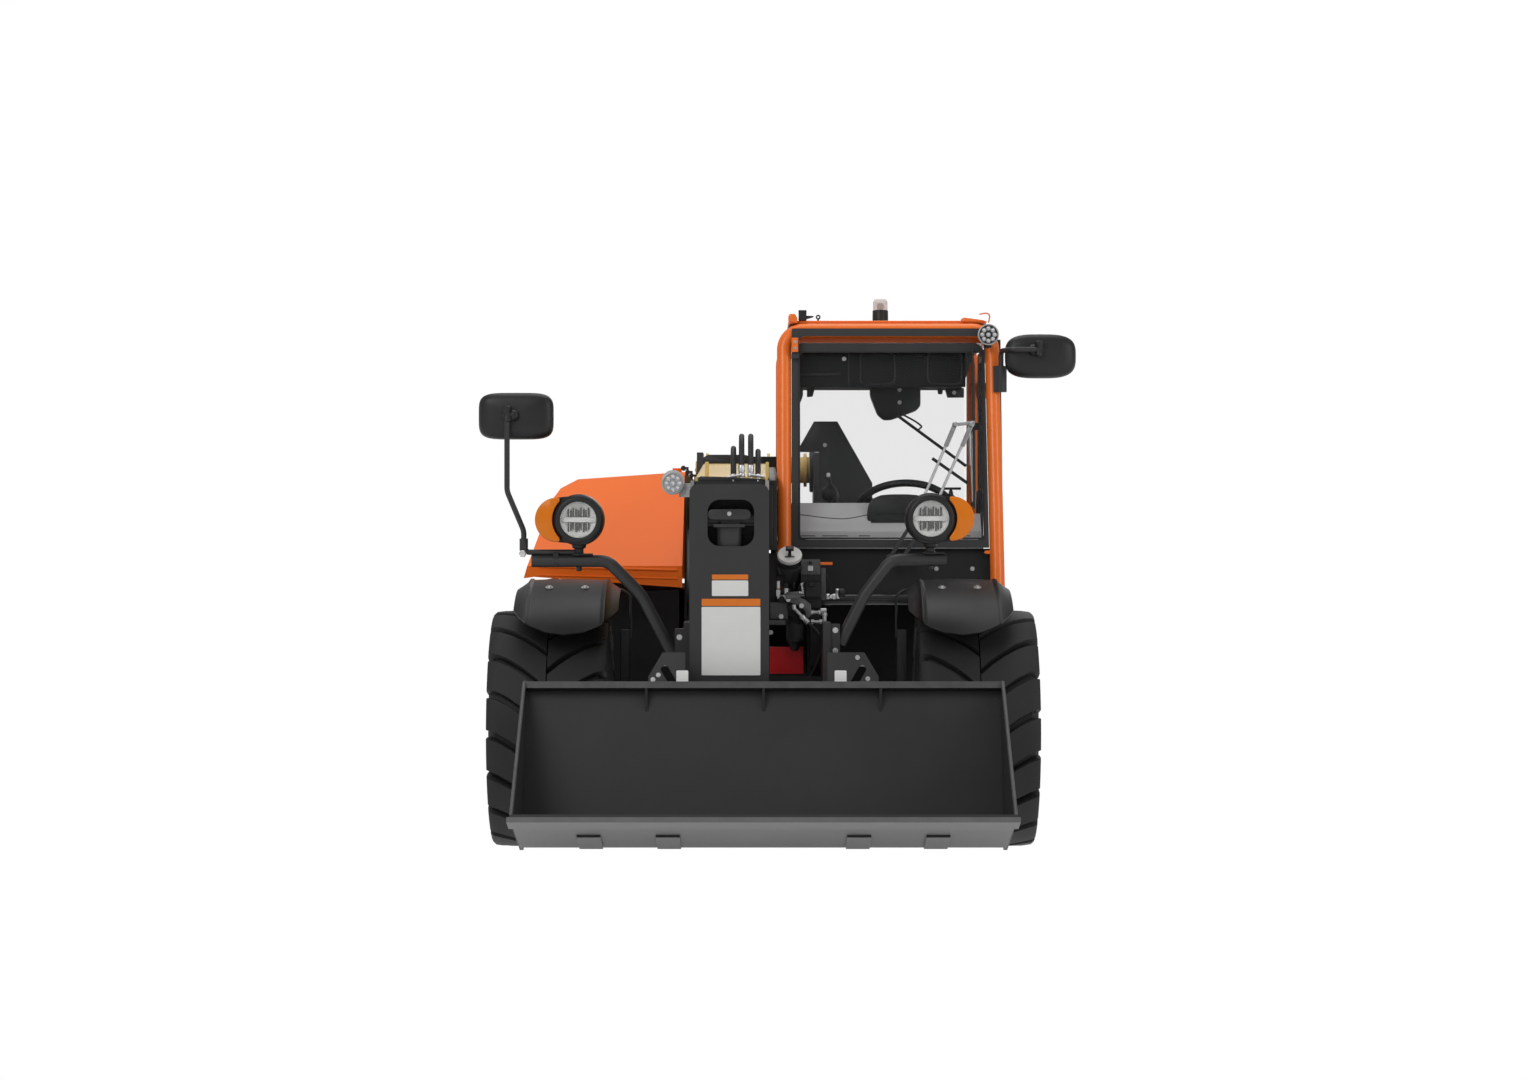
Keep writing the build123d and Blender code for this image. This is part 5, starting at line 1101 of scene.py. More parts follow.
clip = [pipe_mesh("clip", [(-0.668, LAMP_Y - 0.004, 0.964), (-0.684, LAMP_Y - 0.008, 0.963),
                           (-0.697, LAMP_Y - 0.008, 0.957),
                           (-0.690, LAMP_Y - 0.008, 0.951), (-0.668, LAMP_Y - 0.004, 0.949)], 0.0014)]
group_of("lamp_lead_clip", clip, "chassis", hose_rubber)


# ---------------------------------------------------------------------------------------------
# Mirrors. Crowned black plastic shells with rounded corners, a convex glass let into the back, and
# a ball joint whose clamp grips the bar.
MIRROR_WIDE, MIRROR_HIGH = 0.1235, 0.0770      # half of its width and height
# Rings of a shell, from the middle of its crown: scale against the edge, and depth.
SHELL_RINGS = ((0.0, 0.0), (0.35, 0.0010), (0.62, 0.0035), (0.80, 0.0080), (0.90, 0.0135), (0.955, 0.0200),
               (0.985, 0.0280), (1.0, 0.0370), (0.998, 0.0450), (0.985, 0.0510), (0.965, 0.0520),
               (0.945, 0.0500), (0.940, 0.0445))


def mirror_mesh(name, rings, centre, power, steps=64):
    """A rounded shell or glass through rings of a scale and a depth; power is how square its outline is."""
    made = bmesh.new()
    rows = []
    edge = []
    for i in range(steps):
        turn = 2 * math.pi * i / steps
        c, s = math.cos(turn), math.sin(turn)
        edge.append((math.copysign(abs(c) ** (2 / power), c), math.copysign(abs(s) ** (2 / power), s)))
    for scale, deep in rings:
        if scale == 0:
            rows.append([made.verts.new(centre + Vector((0, deep, 0)))])
        else:
            rows.append([made.verts.new(centre + Vector((x * MIRROR_WIDE * scale, deep,
                                                         z * MIRROR_HIGH * scale)))
                         for x, z in edge])
    for near, far in zip(rows, rows[1:]):
        bridge(made, near, far)
    made.faces.new(rows[-1])
    return closed_mesh(made, name)


mirror_glass = surface("mirror_glass", (0.82, 0.84, 0.85), 0.05, dark=0.97, patch=3.0, grain=200.0, bump=0.0,
                       rough_span=0.01, metal=1.0)
shells, glasses, joints = [], [], []
for x, y, z, ball_x, ball_z, power in ((-0.815, -0.340, 1.438, -0.841, 1.440, 4.6),
                                       (0.963, 0.280, 1.669, 0.955, 1.690, 3.3)):
    middle = at(x, y, z)
    shells.append(mirror_mesh("shell", SHELL_RINGS, middle, power))
    glasses.append(mirror_mesh("glass", ((0.0, 0.0480), (0.5, 0.0476), (0.8, 0.0466), (0.936, 0.0458),
                                         (0.938, 0.0448)),
                               middle, power))
    reach = -0.020 if x > 0 else 0.019
    joints.append(lathe("cup", [(0, 0.0), (0, 0.016), (0.004, 0.0195), (0.010, 0.0200), (0.016, 0.0185),
                                (0.022, 0.0130),
                                (0.0245, 0.007), (0.025, 0.0)],
                        at(ball_x + reach, y + 0.006, ball_z - 0.001), (0, -1, 0), 32))
    joints.append(sleeve("grip", (ball_x, y - 0.018, ball_z - 0.024), (ball_x, y - 0.018, ball_z + 0.030),
                         0.0115, 0.0135))
heads = group_of("mirror_shells", shells, "chassis", black_plastic, 60)
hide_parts("mirror_heads")
group_of("mirror_glasses", glasses, "chassis", mirror_glass, 60)
group_of("mirror_joints", joints, "chassis", black_plastic, 40)


# ---------------------------------------------------------------------------------------------
# Beacon on the roof and the shell of the cab's work lamp. A clear ribbed lens is screwed onto a
# black rubber base; the work lamp's shell is moulded plastic on a short foot.
x, y, z = 0.428, 0.950, 1.811
base = lathe("base",
             [(0.0, 0.0), (0.0, 0.0330), (0.006, 0.0335), (0.010, 0.0290), (0.058, 0.0285), (0.060, 0.0275),
              (0.0605, 0.0)], at(x, y, z), (0, 0, 1))
post = lathe("post", [(0.058, 0.0), (0.058, 0.012), (0.084, 0.012), (0.086, 0.010), (0.088, 0.0)],
             at(x, y, z), (0, 0, 1), 24)
beacon = group_of("beacon_base", [base, post], "chassis", black_plastic, 40)
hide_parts("cab_lamps")
ribs = [(0.061, 0.0)] + [(0.061 + 0.0015 * i, 0.0262 + 0.0006 * (i % 2)) for i in range(20)]
lens = lathe("lens", ribs + [(0.093, 0.0255), (0.098, 0.0235), (0.101, 0.0200), (0.102, 0.0)], at(x, y, z),
             (0, 0, 1))
group_of("beacon_lens", [lens], "chassis", beacon_clear, 60)
back = lathe("back", [(-0.004, 0.0), (-0.004, 0.0345), (0.004, 0.0360), (0.020, 0.0350), (0.034, 0.0290),
                      (0.040, 0.0180), (0.041, 0.0)], at(0.783, 0.333, 1.745), (0, 1, 0))
foot = sleeve("foot", (0.783, 0.350, 1.722), (0.783, 0.350, 1.700), 0.010, 0.013)
group_of("cab_lamp_shell", [back, foot], "chassis", black_plastic, 40)


# ---------------------------------------------------------------------------------------------
# Roof fittings. An orange strap at one front corner and a wedge at the other, small hinge tabs, a
# rubber stop with an eye for the lead, and a bent hook by the door.
straps = [solid_of("strap", [(0.087, 1.796), (0.119, 1.790), (0.119, 1.808), (0.110, 1.823), (0.092, 1.823),
                             (0.087, 1.815)],
                   0.030, at(0, 0.440, 0), soft=0.002),
          solid_of("wedge", [(0.694, 1.796), (0.786, 1.796), (0.770, 1.802), (0.704, 1.811), (0.694, 1.806)],
                   0.050, at(0, 0.470, 0), soft=0.002),
          solid_of("tab", box_outline(0.023, 0.050, 0.002), 0.005, at(0.1095, 0.365, 1.7115), soft=0.001),
          solid_of("tab", [(0.763, 0.987), (0.770, 0.993), (0.792, 0.995), (0.792, 0.981), (0.770, 0.982)],
                   0.006, at(0, 0.272, 0), soft=0.001),
          pipe_mesh("hook", [(0.790, 0.420, 1.792), (0.790, 0.420, 1.822), (0.757, 0.410, 1.822)], 0.0025)]
group_of("roof_straps", straps, "chassis", orange_paint)
stops = [solid_of("stop", box_outline(0.028, 0.036, 0.004), 0.030, at(0.137, 0.452, 1.819), soft=0.003),
         solid_of("wing", [(0.150, 1.806), (0.160, 1.808), (0.176, 1.813), (0.176, 1.817), (0.150, 1.818)],
                  0.012, at(0, 0.445, 0), soft=0.001),
         lathe("eye",
               [(-0.003, 0.0035), (-0.003, 0.0085), (0.003, 0.0085), (0.003, 0.0035), (-0.003, 0.0035)],
               at(0.192, 0.440, 1.813), (0, -1, 0), 20),
         sleeve("eye_post", (0.192, 0.440, 1.792), (0.192, 0.440, 1.806), 0.003)]
group_of("roof_stops", stops, "chassis", black_plastic)
bolts("hinge_tab_bolts", "chassis", [((0.110, 0.360, 1.722), AHEAD_OUT), ((0.110, 0.360, 1.700), AHEAD_OUT)],
      head=0.0035, tall=0.003)


# ---------------------------------------------------------------------------------------------
# Windscreen's edge. A black glazed border bonded over the lower half of the roof's front tube, with
# the rubber seal that follows the opening.
outline = [(0.0985, 1.7705), (0.0985, 1.665), (0.1235, 1.665), (0.1235, 1.722), (0.1270, 1.733),
           (0.1340, 1.7405),
           (0.1450, 1.7435), (0.7560, 1.7435), (0.7660, 1.7400), (0.7700, 1.7310), (0.7700, 1.665),
           (0.7745, 1.665), (0.7745, 1.7705)]


def raked(mesh, reach):
    """Leans a flat mesh into the windscreen's plane, a distance ahead of the posts' middle."""
    for vertex in mesh.vertices:
        z = vertex.co.z
        vertex.co.y += screen_y(z) - reach
    return mesh


border = raked(solid_of("border", outline, 0.004, at(0, 0, 0)), 0.0265)
group_of("screen_border", [border], "chassis", charcoal_paint)
seal = []
corners = [(0.125, 1.036), (0.766, 1.036), (0.766, 1.688), (0.125, 1.688)]
for (x0, z0), (x1, z1) in zip(corners, corners[1:] + corners[:1]):
    seal.append(pipe_mesh("seal", [(x0, screen_y(z0, 0.0075), z0), (x1, screen_y(z1, 0.0075), z1)], 0.0028))
group_of("screen_seal", seal, "chassis", hose_rubber)


# ---------------------------------------------------------------------------------------------
# Boom dressing. A folded tray over its rear for the hoses, a covered hose run along its right
# side, guide tabs at its mouth, and plated hose ends on the head.
BOOM_SLOPE = math.radians(3)
BOOM_TURN = Matrix.Rotation(BOOM_SLOPE, 4, "X")
PIN_Y, PIN_Z = 1.900, 1.306         # the boom's rear pin
PIN_RISE = 0.087                   # pin above the boom's centre line


def on_beam(x, along, rise):
    """A place in the boom's own frame: across, along from the rear pin, and up from its centre line."""
    height = rise - PIN_RISE
    return (x, PIN_Y + along * math.cos(BOOM_SLOPE) - height * math.sin(BOOM_SLOPE),
            PIN_Z + along * math.sin(BOOM_SLOPE) + height * math.cos(BOOM_SLOPE))


tray = [solid_of("tray", [(-0.126, -0.030), (0.158, -0.030), (0.158, 0.014), (0.060, 0.014), (0.035, 0.021),
                          (-0.105, 0.021), (-0.126, 0.008)], 0.260, at(-0.107, 1.730, 1.335), soft=0.004)]
group_of("boom_tray", tray, "outer_boom", black_plastic)
cover = [solid_of("run", box_outline(0.030, 0.236, 0.004), 1.560, at(*on_beam(0.0307, -0.380, -0.004)),
                  turn=BOOM_TURN, soft=0.003),
         solid_of("run_cap", box_outline(0.016, 0.200, 0.003), 0.030, at(*on_beam(0.0235, -1.938, -0.004)),
                  turn=BOOM_TURN, soft=0.002)]
group_of("boom_hose_run", cover, "outer_boom", black_plastic)
collar = lathe("collar",
               [(0, 0.0), (0, 0.084), (0.004, 0.088), (0.018, 0.088), (0.020, 0.084), (0.020, 0.052),
                (0.044, 0.052), (0.048, 0.046), (0.048, 0.0)], at(0.181, PIN_Y, PIN_Z), (1, 0, 0))
group_of("pivot_pin_collar", [collar], "chassis", charcoal_paint)
guide = [solid_of("guide", [(0.016, 0.985), (0.058, 0.985), (0.058, 0.830), (0.040, 0.800), (0.016, 0.800)],
                  0.060, at(0, 0.170, 0), soft=0.003),
         solid_of("stiffener", [(0.028, 0.700), (0.088, 0.700), (0.088, 1.200), (0.028, 1.200)], 0.012,
                  at(0, 1.800, 0), soft=0.002)]
group_of("hose_guide", guide, "chassis", charcoal_paint)
buttons = [(on_beam(0.0445, -1.90 + 0.30 * k, rise), (1, 0, 0)) for k in range(6)
           for rise in (-0.085, 0.085)]
bolts("boom_run_bolts", "outer_boom", buttons, head=0.0060, tall=0.0022)
tabs = [solid_of("tab", box_outline(0.013, 0.056, 0.003), 0.040, at(-0.1905, -0.030, 1.265), soft=0.001),
        solid_of("tab", box_outline(0.011, 0.056, 0.003), 0.040, at(0.0125, -0.030, 1.265), soft=0.001)]
group_of("boom_tabs", tabs, "outer_boom", cream_paint)
# Painted shade: a dark strip, sloping down to the right under the hoses, for the shaded gap over the head's
# flange.
strip = [solid_of("strip",
                  [(-0.214, 1.2215), (0.006, 1.2215), (0.006, 1.2290), (-0.060, 1.2330), (-0.120, 1.2360),
                   (-0.206, 1.2385), (-0.214, 1.2330)], 0.004, at(0, -0.3855, 0), soft=0.001)]
group_of("head_gap_shade", strip, "inner_boom", hose_rubber)
ends = []
for x in (-0.072, -0.042):
    ends.append(lathe("crimp", [(0.0, 0.0), (0.0, 0.0085), (0.020, 0.0085), (0.022, 0.0110), (0.027, 0.0118),
                                (0.032, 0.0110), (0.034, 0.0095), (0.040, 0.0108), (0.058, 0.0108),
                                (0.060, 0.0095), (0.060, 0.0)], at(x, -0.378, 1.216), (0, 0, 1), 24))
    away = -1 if x < -0.06 else 1
    ends.append(sleeve("branch", (x, -0.388, 1.243), (x + away * 0.046, -0.388, 1.236), 0.0038))
group_of("hose_ends", ends, "inner_boom", bright_steel)
collars = [sleeve("collar", (x, y, 1.218), (x, y, 1.246), 0.0108, 0.0118)
           for x, y in ((-0.099, -0.378), (-0.018, -0.378), (-0.099, -0.221), (-0.072, -0.221),
                        (-0.042, -0.221), (-0.018, -0.221))]
group_of("hose_collars", collars, "inner_boom", zinc)
cap = [solid_of("cap", box_outline(0.138, 0.034, 0.016), 0.006, at(-0.110, -0.5695, 1.112), soft=0.0025),
       solid_of("ring", box_outline(0.104, 0.011, 0.005), 0.006, at(-0.110, -0.5705, 1.076), soft=0.002),
       lathe("barrel", [(0.0, 0.0), (0.0, 0.038), (0.004, 0.040), (0.080, 0.040), (0.080, 0.0)],
             at(-0.110, -0.540, 0.990), (0, 0, 1), 40)]
cap[2].transform(Matrix.Translation(at(0, -0.540, 0)) @ Matrix.Diagonal((1, 0.55, 1, 1))
                 @ Matrix.Translation(-at(0, -0.540, 0)))
group_of("tilt_yoke_cover", cap, "inner_boom", charcoal_paint)
bolts("yoke_bolt", "inner_boom", [((-0.110, -0.5755, 1.1145), AHEAD_OUT)], head=0.0045, tall=0.003)


# ---------------------------------------------------------------------------------------------
# Cab roof. A pressed orange panel with rounded corners. Under it a dark block fills the gap to the cab's
# tubes: painted shade standing in for the shadow under the panel's edge.
FLAT_TURN = Matrix.Rotation(math.radians(90), 4, "X")
panel = solid_of("panel", box_outline(0.700, 1.046, 0.055, 8), 0.0095, at(0.4365, 0.955, 1.8005),
                 turn=FLAT_TURN, soft=0.003)
roof = group_of("roof_panel", [panel], "chassis", orange_paint)
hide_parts("cab_roof")
# Painted shade: a dark block for the shadow under the roof panel's edge.
roof_edge_shade_block = solid_of("roof_edge_shade_block", box_outline(0.702, 1.046, 0.058, 8), 0.030, at(0.4365, 0.955, 1.7815),
                  turn=FLAT_TURN)
group_of("roof_edge_painted_shade", [roof_edge_shade_block], "chassis", hose_rubber)


# ---------------------------------------------------------------------------------------------
# Guard behind the cab. A cut steel screen with a notch for the boom's rear pin, on a flat foot,
# both sprayed charcoal.
screen = solid_of("screen",
                  [(0.066, 1.000), (0.4185, 1.000), (0.4185, 1.249), (0.284, 1.486), (0.194, 1.486),
                   (0.127, 1.368), (0.214, 1.368), (0.214, 1.172), (0.066, 1.172)], 0.008,
                  at(0, 1.568, 0), soft=0.0015)
foot = solid_of("foot", box_outline(0.300, 0.420, 0.010), 0.008, at(0.243, 1.548, 0.812), soft=0.002)
guard = group_of("guard_screen", [screen, foot], "chassis", charcoal_paint)
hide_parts("guard_plate")


# ---------------------------------------------------------------------------------------------
# Cab fittings. Moulded frames in the headliner, corner plates over the rear window, the joystick,
# the parking lever, the door's gas strut, latch and catches, and the side lining.
def loop_of(outline):
    """An outline with its first points again, for a closed bar."""
    return outline + outline[:2]


fascia = solid_of("fascia", [(0.122, 1.722), (0.712, 1.722), (0.712, 1.5685), (0.122, 1.5685)], 0.008,
                  at(0, 0.476, 0), soft=0.003)
group_of("lining_fascia", [fascia], "chassis", lining_plastic)
frames = []
for left, right in ((0.342, 0.462), (0.578, 0.698)):
    ring = box_outline(right - left, 0.112, 0.020, 3)
    path = [((left + right) / 2 + x, 0.4675, 1.636 + z) for x, z in ring]
    frames.append(pipe_mesh("frame", loop_of(path), 0.0030, smooth=0.2))
frames.append(solid_of("panel", box_outline(0.005, 0.140, 0.001), 0.003, at(0.300, 0.4680, 1.645),
                       soft=0.001))
frames.append(solid_of("ledge", [(0.130, 0.0), (0.280, 0.0), (0.262, -0.006), (0.200, -0.009),
                                 (0.130, -0.008)], 0.014,
                       at(0, 0.474, 1.618), soft=0.002))
for outline in (((0.165, 1.608), (0.196, 1.608), (0.187, 1.575), (0.165, 1.573)),
                ((0.688, 1.608), (0.762, 1.608), (0.762, 1.571), (0.699, 1.571)),
                ((0.6600, 1.608), (0.683, 1.608), (0.680, 1.584), (0.664, 1.584))):
    frames.append(solid_of("plate", list(outline), 0.020, at(0, 1.430, 0), soft=0.003))
frames.append(solid_of("lining", [(0.120, 1.690), (0.137, 1.690), (0.141, 1.665), (0.141, 1.545),
                                  (0.120, 1.500)], 0.300,
                       at(0, 0.900, 0), soft=0.004))
group_of("headliner_frames", frames, "chassis", black_plastic)
bolts("headliner_bolts", "chassis", [((0.284, 0.468, 1.668), AHEAD_OUT), ((0.142, 0.700, 1.590), (1, 0, 0)),
                                     ((0.724, 1.409, 1.590), AHEAD_OUT), ((0.516, 1.384, 1.600), AHEAD_OUT),
                                     ((0.516, 1.384, 1.552), AHEAD_OUT)], head=0.0050, tall=0.004)
stick = [lathe("boot",
               [(0.0, 0.0), (0.0, 0.034), (0.010, 0.033), (0.022, 0.026), (0.034, 0.024), (0.046, 0.016),
                (0.058, 0.010), (0.058, 0.0)], at(0.238, 0.640, 1.080), (0, 0, 1), 32),
         sleeve("stalk", (0.238, 0.640, 1.120), (0.236, 0.632, 1.186), 0.0075),
         lathe("ball", [(-0.030, 0.0), (-0.028, 0.010), (-0.022, 0.020), (-0.012, 0.0275), (0.0, 0.0300),
                        (0.012, 0.0275),
                        (0.022, 0.020), (0.029, 0.011), (0.040, 0.007), (0.052, 0.0065), (0.054, 0.0)],
               at(0.236, 0.632, 1.196), (0, 0, 1), 32),
         sleeve("lever_bar", (0.632, 0.560, 1.2125), (0.701, 0.560, 1.2125), 0.0045),
         lathe("lever_bell",
               [(0.0, 0.0), (0.0, 0.026), (0.006, 0.020), (0.014, 0.0095), (0.030, 0.0060), (0.036, 0.0)],
               at(0.665, 0.560, 1.176), (0, 0, 1), 24)]
group_of("joystick", stick, "chassis", black_plastic)
button = [solid_of("button", box_outline(0.0130, 0.0150, 0.003), 0.012, at(0.231, 0.628, 1.262), soft=0.002)]
group_of("joystick_button", button, "chassis", bright_steel)
strut = [sleeve("tube", (0.735, 0.560, 1.440), (0.737, 0.540, 1.290), 0.0090),
         sleeve("rod", (0.737, 0.540, 1.292), (0.740, 0.525, 1.165), 0.0042)]
group_of("door_strut", strut, "chassis", satin_steel)
hardware = [solid_of("bracket", box_outline(0.030, 0.026, 0.003), 0.030, at(0.752, 0.560, 1.432),
                     soft=0.002),
            solid_of("catch", box_outline(0.012, 0.050, 0.003), 0.030, at(0.768, 0.560, 1.470), soft=0.002),
            solid_of("latch", [(-0.012, -0.045), (0.014, -0.045), (0.016, 0.020), (0.006, 0.040),
                               (-0.010, 0.034)], 0.040,
                     at(0.766, 0.580, 1.170), soft=0.004),
            solid_of("ball_seat", box_outline(0.014, 0.016, 0.003), 0.012, at(0.742, 0.530, 1.158),
                     soft=0.002)]
group_of("door_hardware", hardware, "chassis", black_plastic)
cowl = [solid_of("cowl", [(0.363, 1.090), (0.363, 1.130), (0.369, 1.156), (0.385, 1.176), (0.410, 1.187),
                          (0.445, 1.190), (0.505, 1.190), (0.540, 1.187), (0.565, 1.176), (0.580, 1.156),
                          (0.586, 1.130), (0.586, 1.090)], 0.120, at(0, 0.500, 0), soft=0.006),
        solid_of("screen", [(0.392, 1.120), (0.392, 1.150), (0.410, 1.170), (0.440, 1.176), (0.510, 1.176),
                            (0.540, 1.170), (0.558, 1.150), (0.558, 1.120)], 0.006, at(0, 0.382, 0),
                 soft=0.002)]
group_of("instrument_cowl", cowl, "chassis", black_plastic)
# Painted shade: thin dark bars along the dash's crease and along the top and bottom of its slots stand in
# for their shadows.
crease_shade = [pipe_mesh("crease", [(0.128, 0.331, 1.118), (0.277, 0.331, 1.104), (0.374, 0.331, 1.120)],
                     0.0016)]
for x0, x1 in ((0.128, 0.180), (0.204, 0.294), (0.332, 0.370), (0.620, 0.650), (0.690, 0.720)):
    for z in (1.0375, 1.0445):
        crease_shade.append(sleeve("slot", (x0, 0.3325, z), (x1, 0.3325, z), 0.0014))
group_of("dash_slot_shade", crease_shade, "chassis", print_and_shade_dark)


# ---------------------------------------------------------------------------------------------
# Bucket details. A skin plate and four wear shoes under the floor, square corners on the cheeks at the heel,
# and edges with worn paint along the top rail and the cheeks. The skin and shoes are light grey: partly bare
# steel, partly painted light from the floor below, with painted shade on the shoes' front faces.
SHOVEL_TILT = math.radians(-16.3)
HEEL_Y, HEEL_Z = -0.850, 0.060      # the corner between the bucket's floor and back


def shovel_spot(x, along, rise):
    """A place in the bucket's own frame, from the corner between floor and back."""
    return (x, HEEL_Y + along * math.cos(SHOVEL_TILT) - rise * math.sin(SHOVEL_TILT),
            HEEL_Z + along * math.sin(SHOVEL_TILT) + rise * math.cos(SHOVEL_TILT))


def on_shovel(x, along, rise):
    """The same place in the scene."""
    return at(*shovel_spot(x, along, rise))


def shovel_box(name, x, along, rise, soft=0.001):
    """A box in the bucket's own frame."""
    made = bmesh.new()
    spots = [[[made.verts.new(on_shovel(px, py, pz)) for pz in rise] for py in along] for px in x]
    near, far = [(a[0], a[1], b[1], b[0]) for a, b in spots]
    made.faces.new(near)
    made.faces.new(far)
    bridge(made, near, far)
    return closed_mesh(made, name, soft)


# Light grey, partly bare steel and partly painted light: it stands in for the floor's light bouncing onto
# the underside.
skin_steel_and_bounce_light = surface("skin_steel_and_bounce_light", (0.215, 0.215, 0.217), 0.55, dark=0.8, patch=6.0, grain=300.0, bump=0.15)
under = [shovel_box("skin", (-0.756, 0.756), (-0.482, -0.092), (-0.0124, 0.001))]
shoe_x = (-0.534, -0.292, 0.292, 0.534)
under += [shovel_box("shoe", (x - 0.037, x + 0.037), (-0.290, -0.110), (-0.0205, -0.012)) for x in shoe_x]
group_of("bucket_skin", under, "tool", skin_steel_and_bounce_light)
# Painted shade: thin dark plates on the shoes' front faces draw the shadow of their steps.
shoe_front_shade = [shovel_box("front", (x - 0.0365, x + 0.0365), (-0.2920, -0.289), (-0.0202, -0.0126), 0.0005)
          for x in shoe_x]
group_of("shoe_fronts_painted_shade", shoe_front_shade, "tool", print_and_shade_dark)
CORNER_OUTLINE = ((-0.470, 0.004), (-0.470, -0.004), (-0.020, -0.006), (-0.002, -0.001), (0.000, 0.150),
                  (-0.060, 0.060))
corners = []
for sides in ((-0.7625, -0.7515), (0.7515, 0.7625)):
    made = bmesh.new()
    near, far = [[made.verts.new(on_shovel(x, along, rise)) for along, rise in CORNER_OUTLINE]
                 for x in sides]
    made.faces.new(near)
    made.faces.new(far)
    bridge(made, near, far)
    corners.append(closed_mesh(made, "corner"))
group_of("cheek_corners", corners, "tool", bucket_paint)
worn_paint = surface("worn_paint", (0.085, 0.085, 0.087), 0.45, dark=0.75, patch=20.0, grain=300.0,
                     bump=0.15)
edges = [shovel_box("rail", (-0.754, 0.754), (-0.0495, -0.0480), (0.5085, 0.5300), 0.0004)]
for x in (-0.757, 0.757):
    edges.append(pipe_mesh("edge", [shovel_spot(x, -0.492, 0.004), shovel_spot(x, -0.047, 0.528)], 0.0056))
group_of("bucket_worn_edges", edges, "tool", worn_paint)


# ---------------------------------------------------------------------------------------------
# Hood trim. Two rolled beads pressed into the shell along the lower edge of the nose, painted
# with it.
roll = []
for z, y, radius in ((0.938, 0.2835, 0.0045), (0.9085, 0.2845, 0.0035)):
    found = [touch("hood", (x, FAR_AHEAD, z - 0.026 * (x + 0.79)), AHEAD)[0]
             for x in (-0.780, -0.60, -0.45, -0.300)]
    roll.append(pipe_mesh("roll", [(x, y - 0.0005, z) for x, y, z in found], radius, smooth=0.3))
group_of("hood_roll", roll, "hood", hood_shell)


# ---------------------------------------------------------------------------------------------
# Seat. Cushion and back are foam under black cloth: rounded blocks, each blown up a little as
# simulated cloth.
def soft_block(name, low, high, corner, lean=0.0):
    """A rounded block between two places in machine metres, leaned back where asked."""
    made = bmesh.new()
    bmesh.ops.create_cube(made, size=1.0)
    size = Vector(high) - Vector(low)
    middle = (Vector(high) + Vector(low)) / 2
    for vertex in made.verts:
        vertex.co = Vector((vertex.co.x * size.x, vertex.co.y * size.y, vertex.co.z * size.z))
        vertex.co.y += lean * (vertex.co.z + size.z / 2)
        vertex.co += at(*middle)
    bmesh.ops.bevel(made, geom=made.edges[:], offset=corner, segments=4, affect="EDGES", profile=0.6)
    return closed_mesh(made, name)


def padded_cushion(name, mesh, swell, voxel=0.010):
    """A cushion blown up as cloth round its first shape, never further than it may swell."""
    cushion = bpy.data.objects.new(name, mesh)
    bpy.context.scene.collection.objects.link(cushion)
    grid = cushion.modifiers.new("grid", "REMESH")
    grid.mode = "VOXEL"
    grid.voxel_size = voxel
    settle = cushion.evaluated_get(bpy.context.evaluated_depsgraph_get())
    cushion.data = bpy.data.meshes.new_from_object(settle)
    cushion.modifiers.clear()
    start = [v.co.copy() for v in cushion.data.vertices]
    cloth = cushion.modifiers.new("cloth", "CLOTH")
    cloth.settings.use_pressure = True
    cloth.settings.uniform_pressure_force = 4.0
    cloth.settings.effector_weights.gravity = 0.0
    cloth.settings.quality = 4
    for step in range(1, 16):
        bpy.context.scene.frame_set(step)
    blown = cushion.evaluated_get(bpy.context.evaluated_depsgraph_get())
    shape = bpy.data.meshes.new_from_object(blown)
    cushion.modifiers.clear()
    bpy.context.scene.frame_set(1)
    for vertex, first in zip(shape.vertices, start):
        move = vertex.co - first
        if move.length > swell:
            vertex.co = first + move.normalized() * swell
    cushion.data = shape
    cushion.data.materials.clear()
    cushion.data.materials.append(seat_cloth)
    shade(cushion.data, 60)
    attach(cushion, "chassis")
    return cushion


base_cushion = padded_cushion("seat_cushion",
                              soft_block("seat_cushion", (0.310, 0.890, 0.628), (0.680, 1.262, 0.708),
                                         0.030), 0.012)
back_cushion = padded_cushion("seat_back",
                              soft_block("seat_back", (0.320, 1.270, 0.735), (0.670, 1.350, 1.160), 0.034,
                                         lean=0.11), 0.012)
for cushion in (base_cushion, back_cushion):
    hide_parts("seat_cushions")


# ---------------------------------------------------------------------------------------------
# Tail and sides. Round tail lamps and indicators let into the counterweight, its bolts, the mesh
# behind the hood's louvres, the hood's latches, the tank's cap, the door's handle and the nipples.
lamp_red = surface("lamp_red", (0.55, 0.010, 0.012), 0.18, dark=0.85, patch=30.0, grain=300.0, bump=0.1,
                   shine=0.6)
amber_solid = surface("amber_solid", (0.80, 0.20, 0.01), 0.2, dark=0.85, patch=30.0, grain=300.0, bump=0.1,
                      shine=0.6)
TAIL_OUT = (0, 1, 0)
FAR_BEHIND = 4.0
lamps, ambers, rings = [], [], []
for side in (-1, 1):
    for x, kind, radius in ((0.560, lamps, 0.048), (0.440, ambers, 0.048), (0.330, lamps, 0.030)):
        spot = touch("counterweight", (side * x, FAR_BEHIND, 0.770), AHEAD_OUT)[0]
        kind.append(lathe("lens", [(0.0, 0.0), (0.0, radius - 0.003), (0.006, radius - 0.003),
                                   (0.012, radius - 0.010), (0.014, 0.0)], at(*spot), TAIL_OUT))
        rings.append(lathe("ring", [(0.0, radius - 0.004), (0.0, radius + 0.004), (0.010, radius + 0.003),
                                    (0.011, radius - 0.003), (0.0, radius - 0.004)], at(*spot), TAIL_OUT))
group_of("tail_lenses", lamps, "chassis", lamp_red, 60)
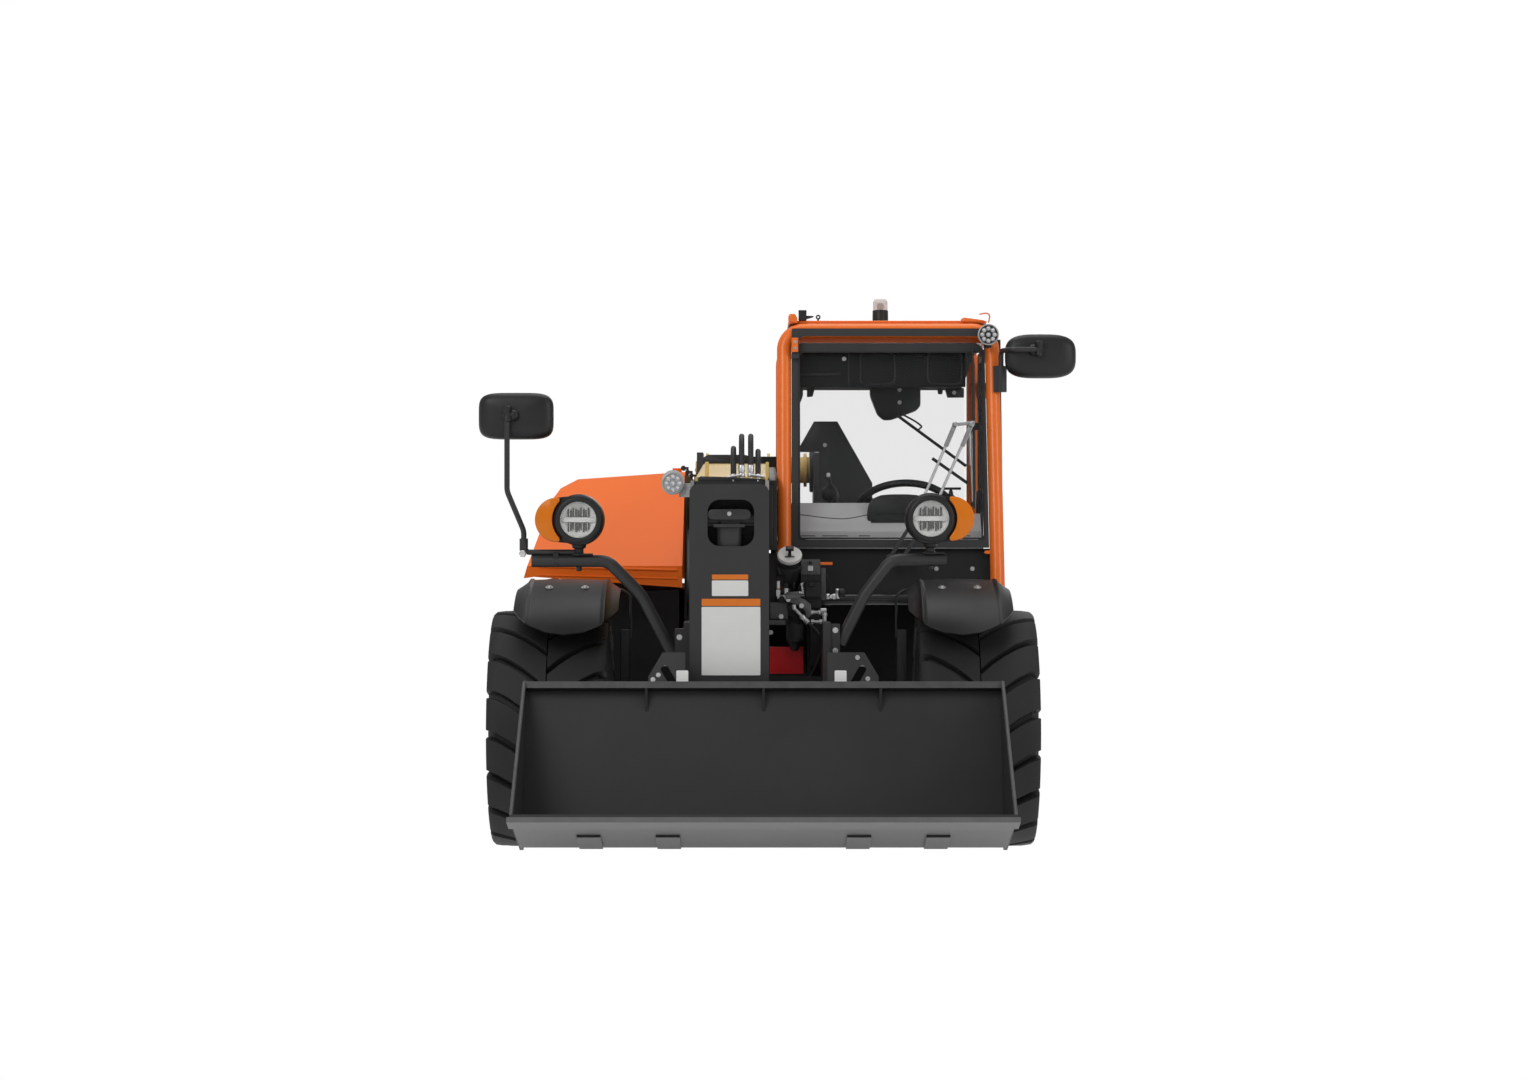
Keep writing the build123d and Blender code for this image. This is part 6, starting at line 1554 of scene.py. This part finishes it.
group_of("tail_indicators", ambers, "chassis", amber_solid, 60)
group_of("tail_rings", rings, "chassis", black_plastic, 60)
places = [touch("counterweight", (x, FAR_BEHIND, 0.560), AHEAD_OUT) for x in (-0.62, 0.62, -0.20, 0.20)]
bolts("counterweight_bolts", "chassis", places, head=0.014, tall=0.011)
WIRE = 0.0016                      # thickness of the mesh's wires
MESH_X = -0.785
wires = []
for k in range(26):
    wires.append(solid_of("wire", box_outline(WIRE, 0.178), WIRE, at(MESH_X, 1.520 + 0.021 * k, 1.035)))
for k in range(9):
    wires.append(solid_of("wire", box_outline(WIRE, WIRE), 0.540, at(MESH_X, 2.050, 0.955 + 0.020 * k)))
group_of("louvre_mesh", wires, "hood", guard_grey)
latches = []
for y in (0.760, 2.300):
    found, way = touch("hood", (-2.0, y, 0.925), (1, 0, 0))
    latches.append(lathe("latch", [(0.0, 0.0), (0.0, 0.026), (0.005, 0.026), (0.007, 0.022), (0.005, 0.018),
                                   (0.005, 0.010), (0.012, 0.009), (0.012, 0.0)], at(*found), way, 32))
group_of("hood_latches", latches, "hood", black_plastic, 40)
found, way = touch("side_tank", (-0.640, 0.720, 2.0), (0, 0, -1))
cap = lathe("cap",
            [(-0.004, 0.0), (-0.004, 0.042), (0.014, 0.042), (0.018, 0.046), (0.040, 0.046), (0.044, 0.042),
             (0.045, 0.0)], at(*found), way, 24)
group_of("tank_cap", [cap], "chassis", black_plastic, 30)
HANDLE_Z = 0.762
handle = [pipe_mesh("handle", [(0.838, 0.520, HANDLE_Z), (0.868, 0.530, HANDLE_Z), (0.868, 0.640, HANDLE_Z),
                               (0.838, 0.650, HANDLE_Z)], 0.0075, smooth=0.25),
          solid_of("plate", box_outline(0.010, 0.060, 0.004), 0.190, at(0.838, 0.680, HANDLE_Z), soft=0.002)]
group_of("door_handle", handle, "door", black_plastic)
zerks = [((-0.262, 1.900, 1.306), (-1, 0, 0)), ((0.241, 1.900, 1.306), (1, 0, 0))]
bolts("pin_nipples", "outer_boom", zerks, head=0.0060, tall=0.008)
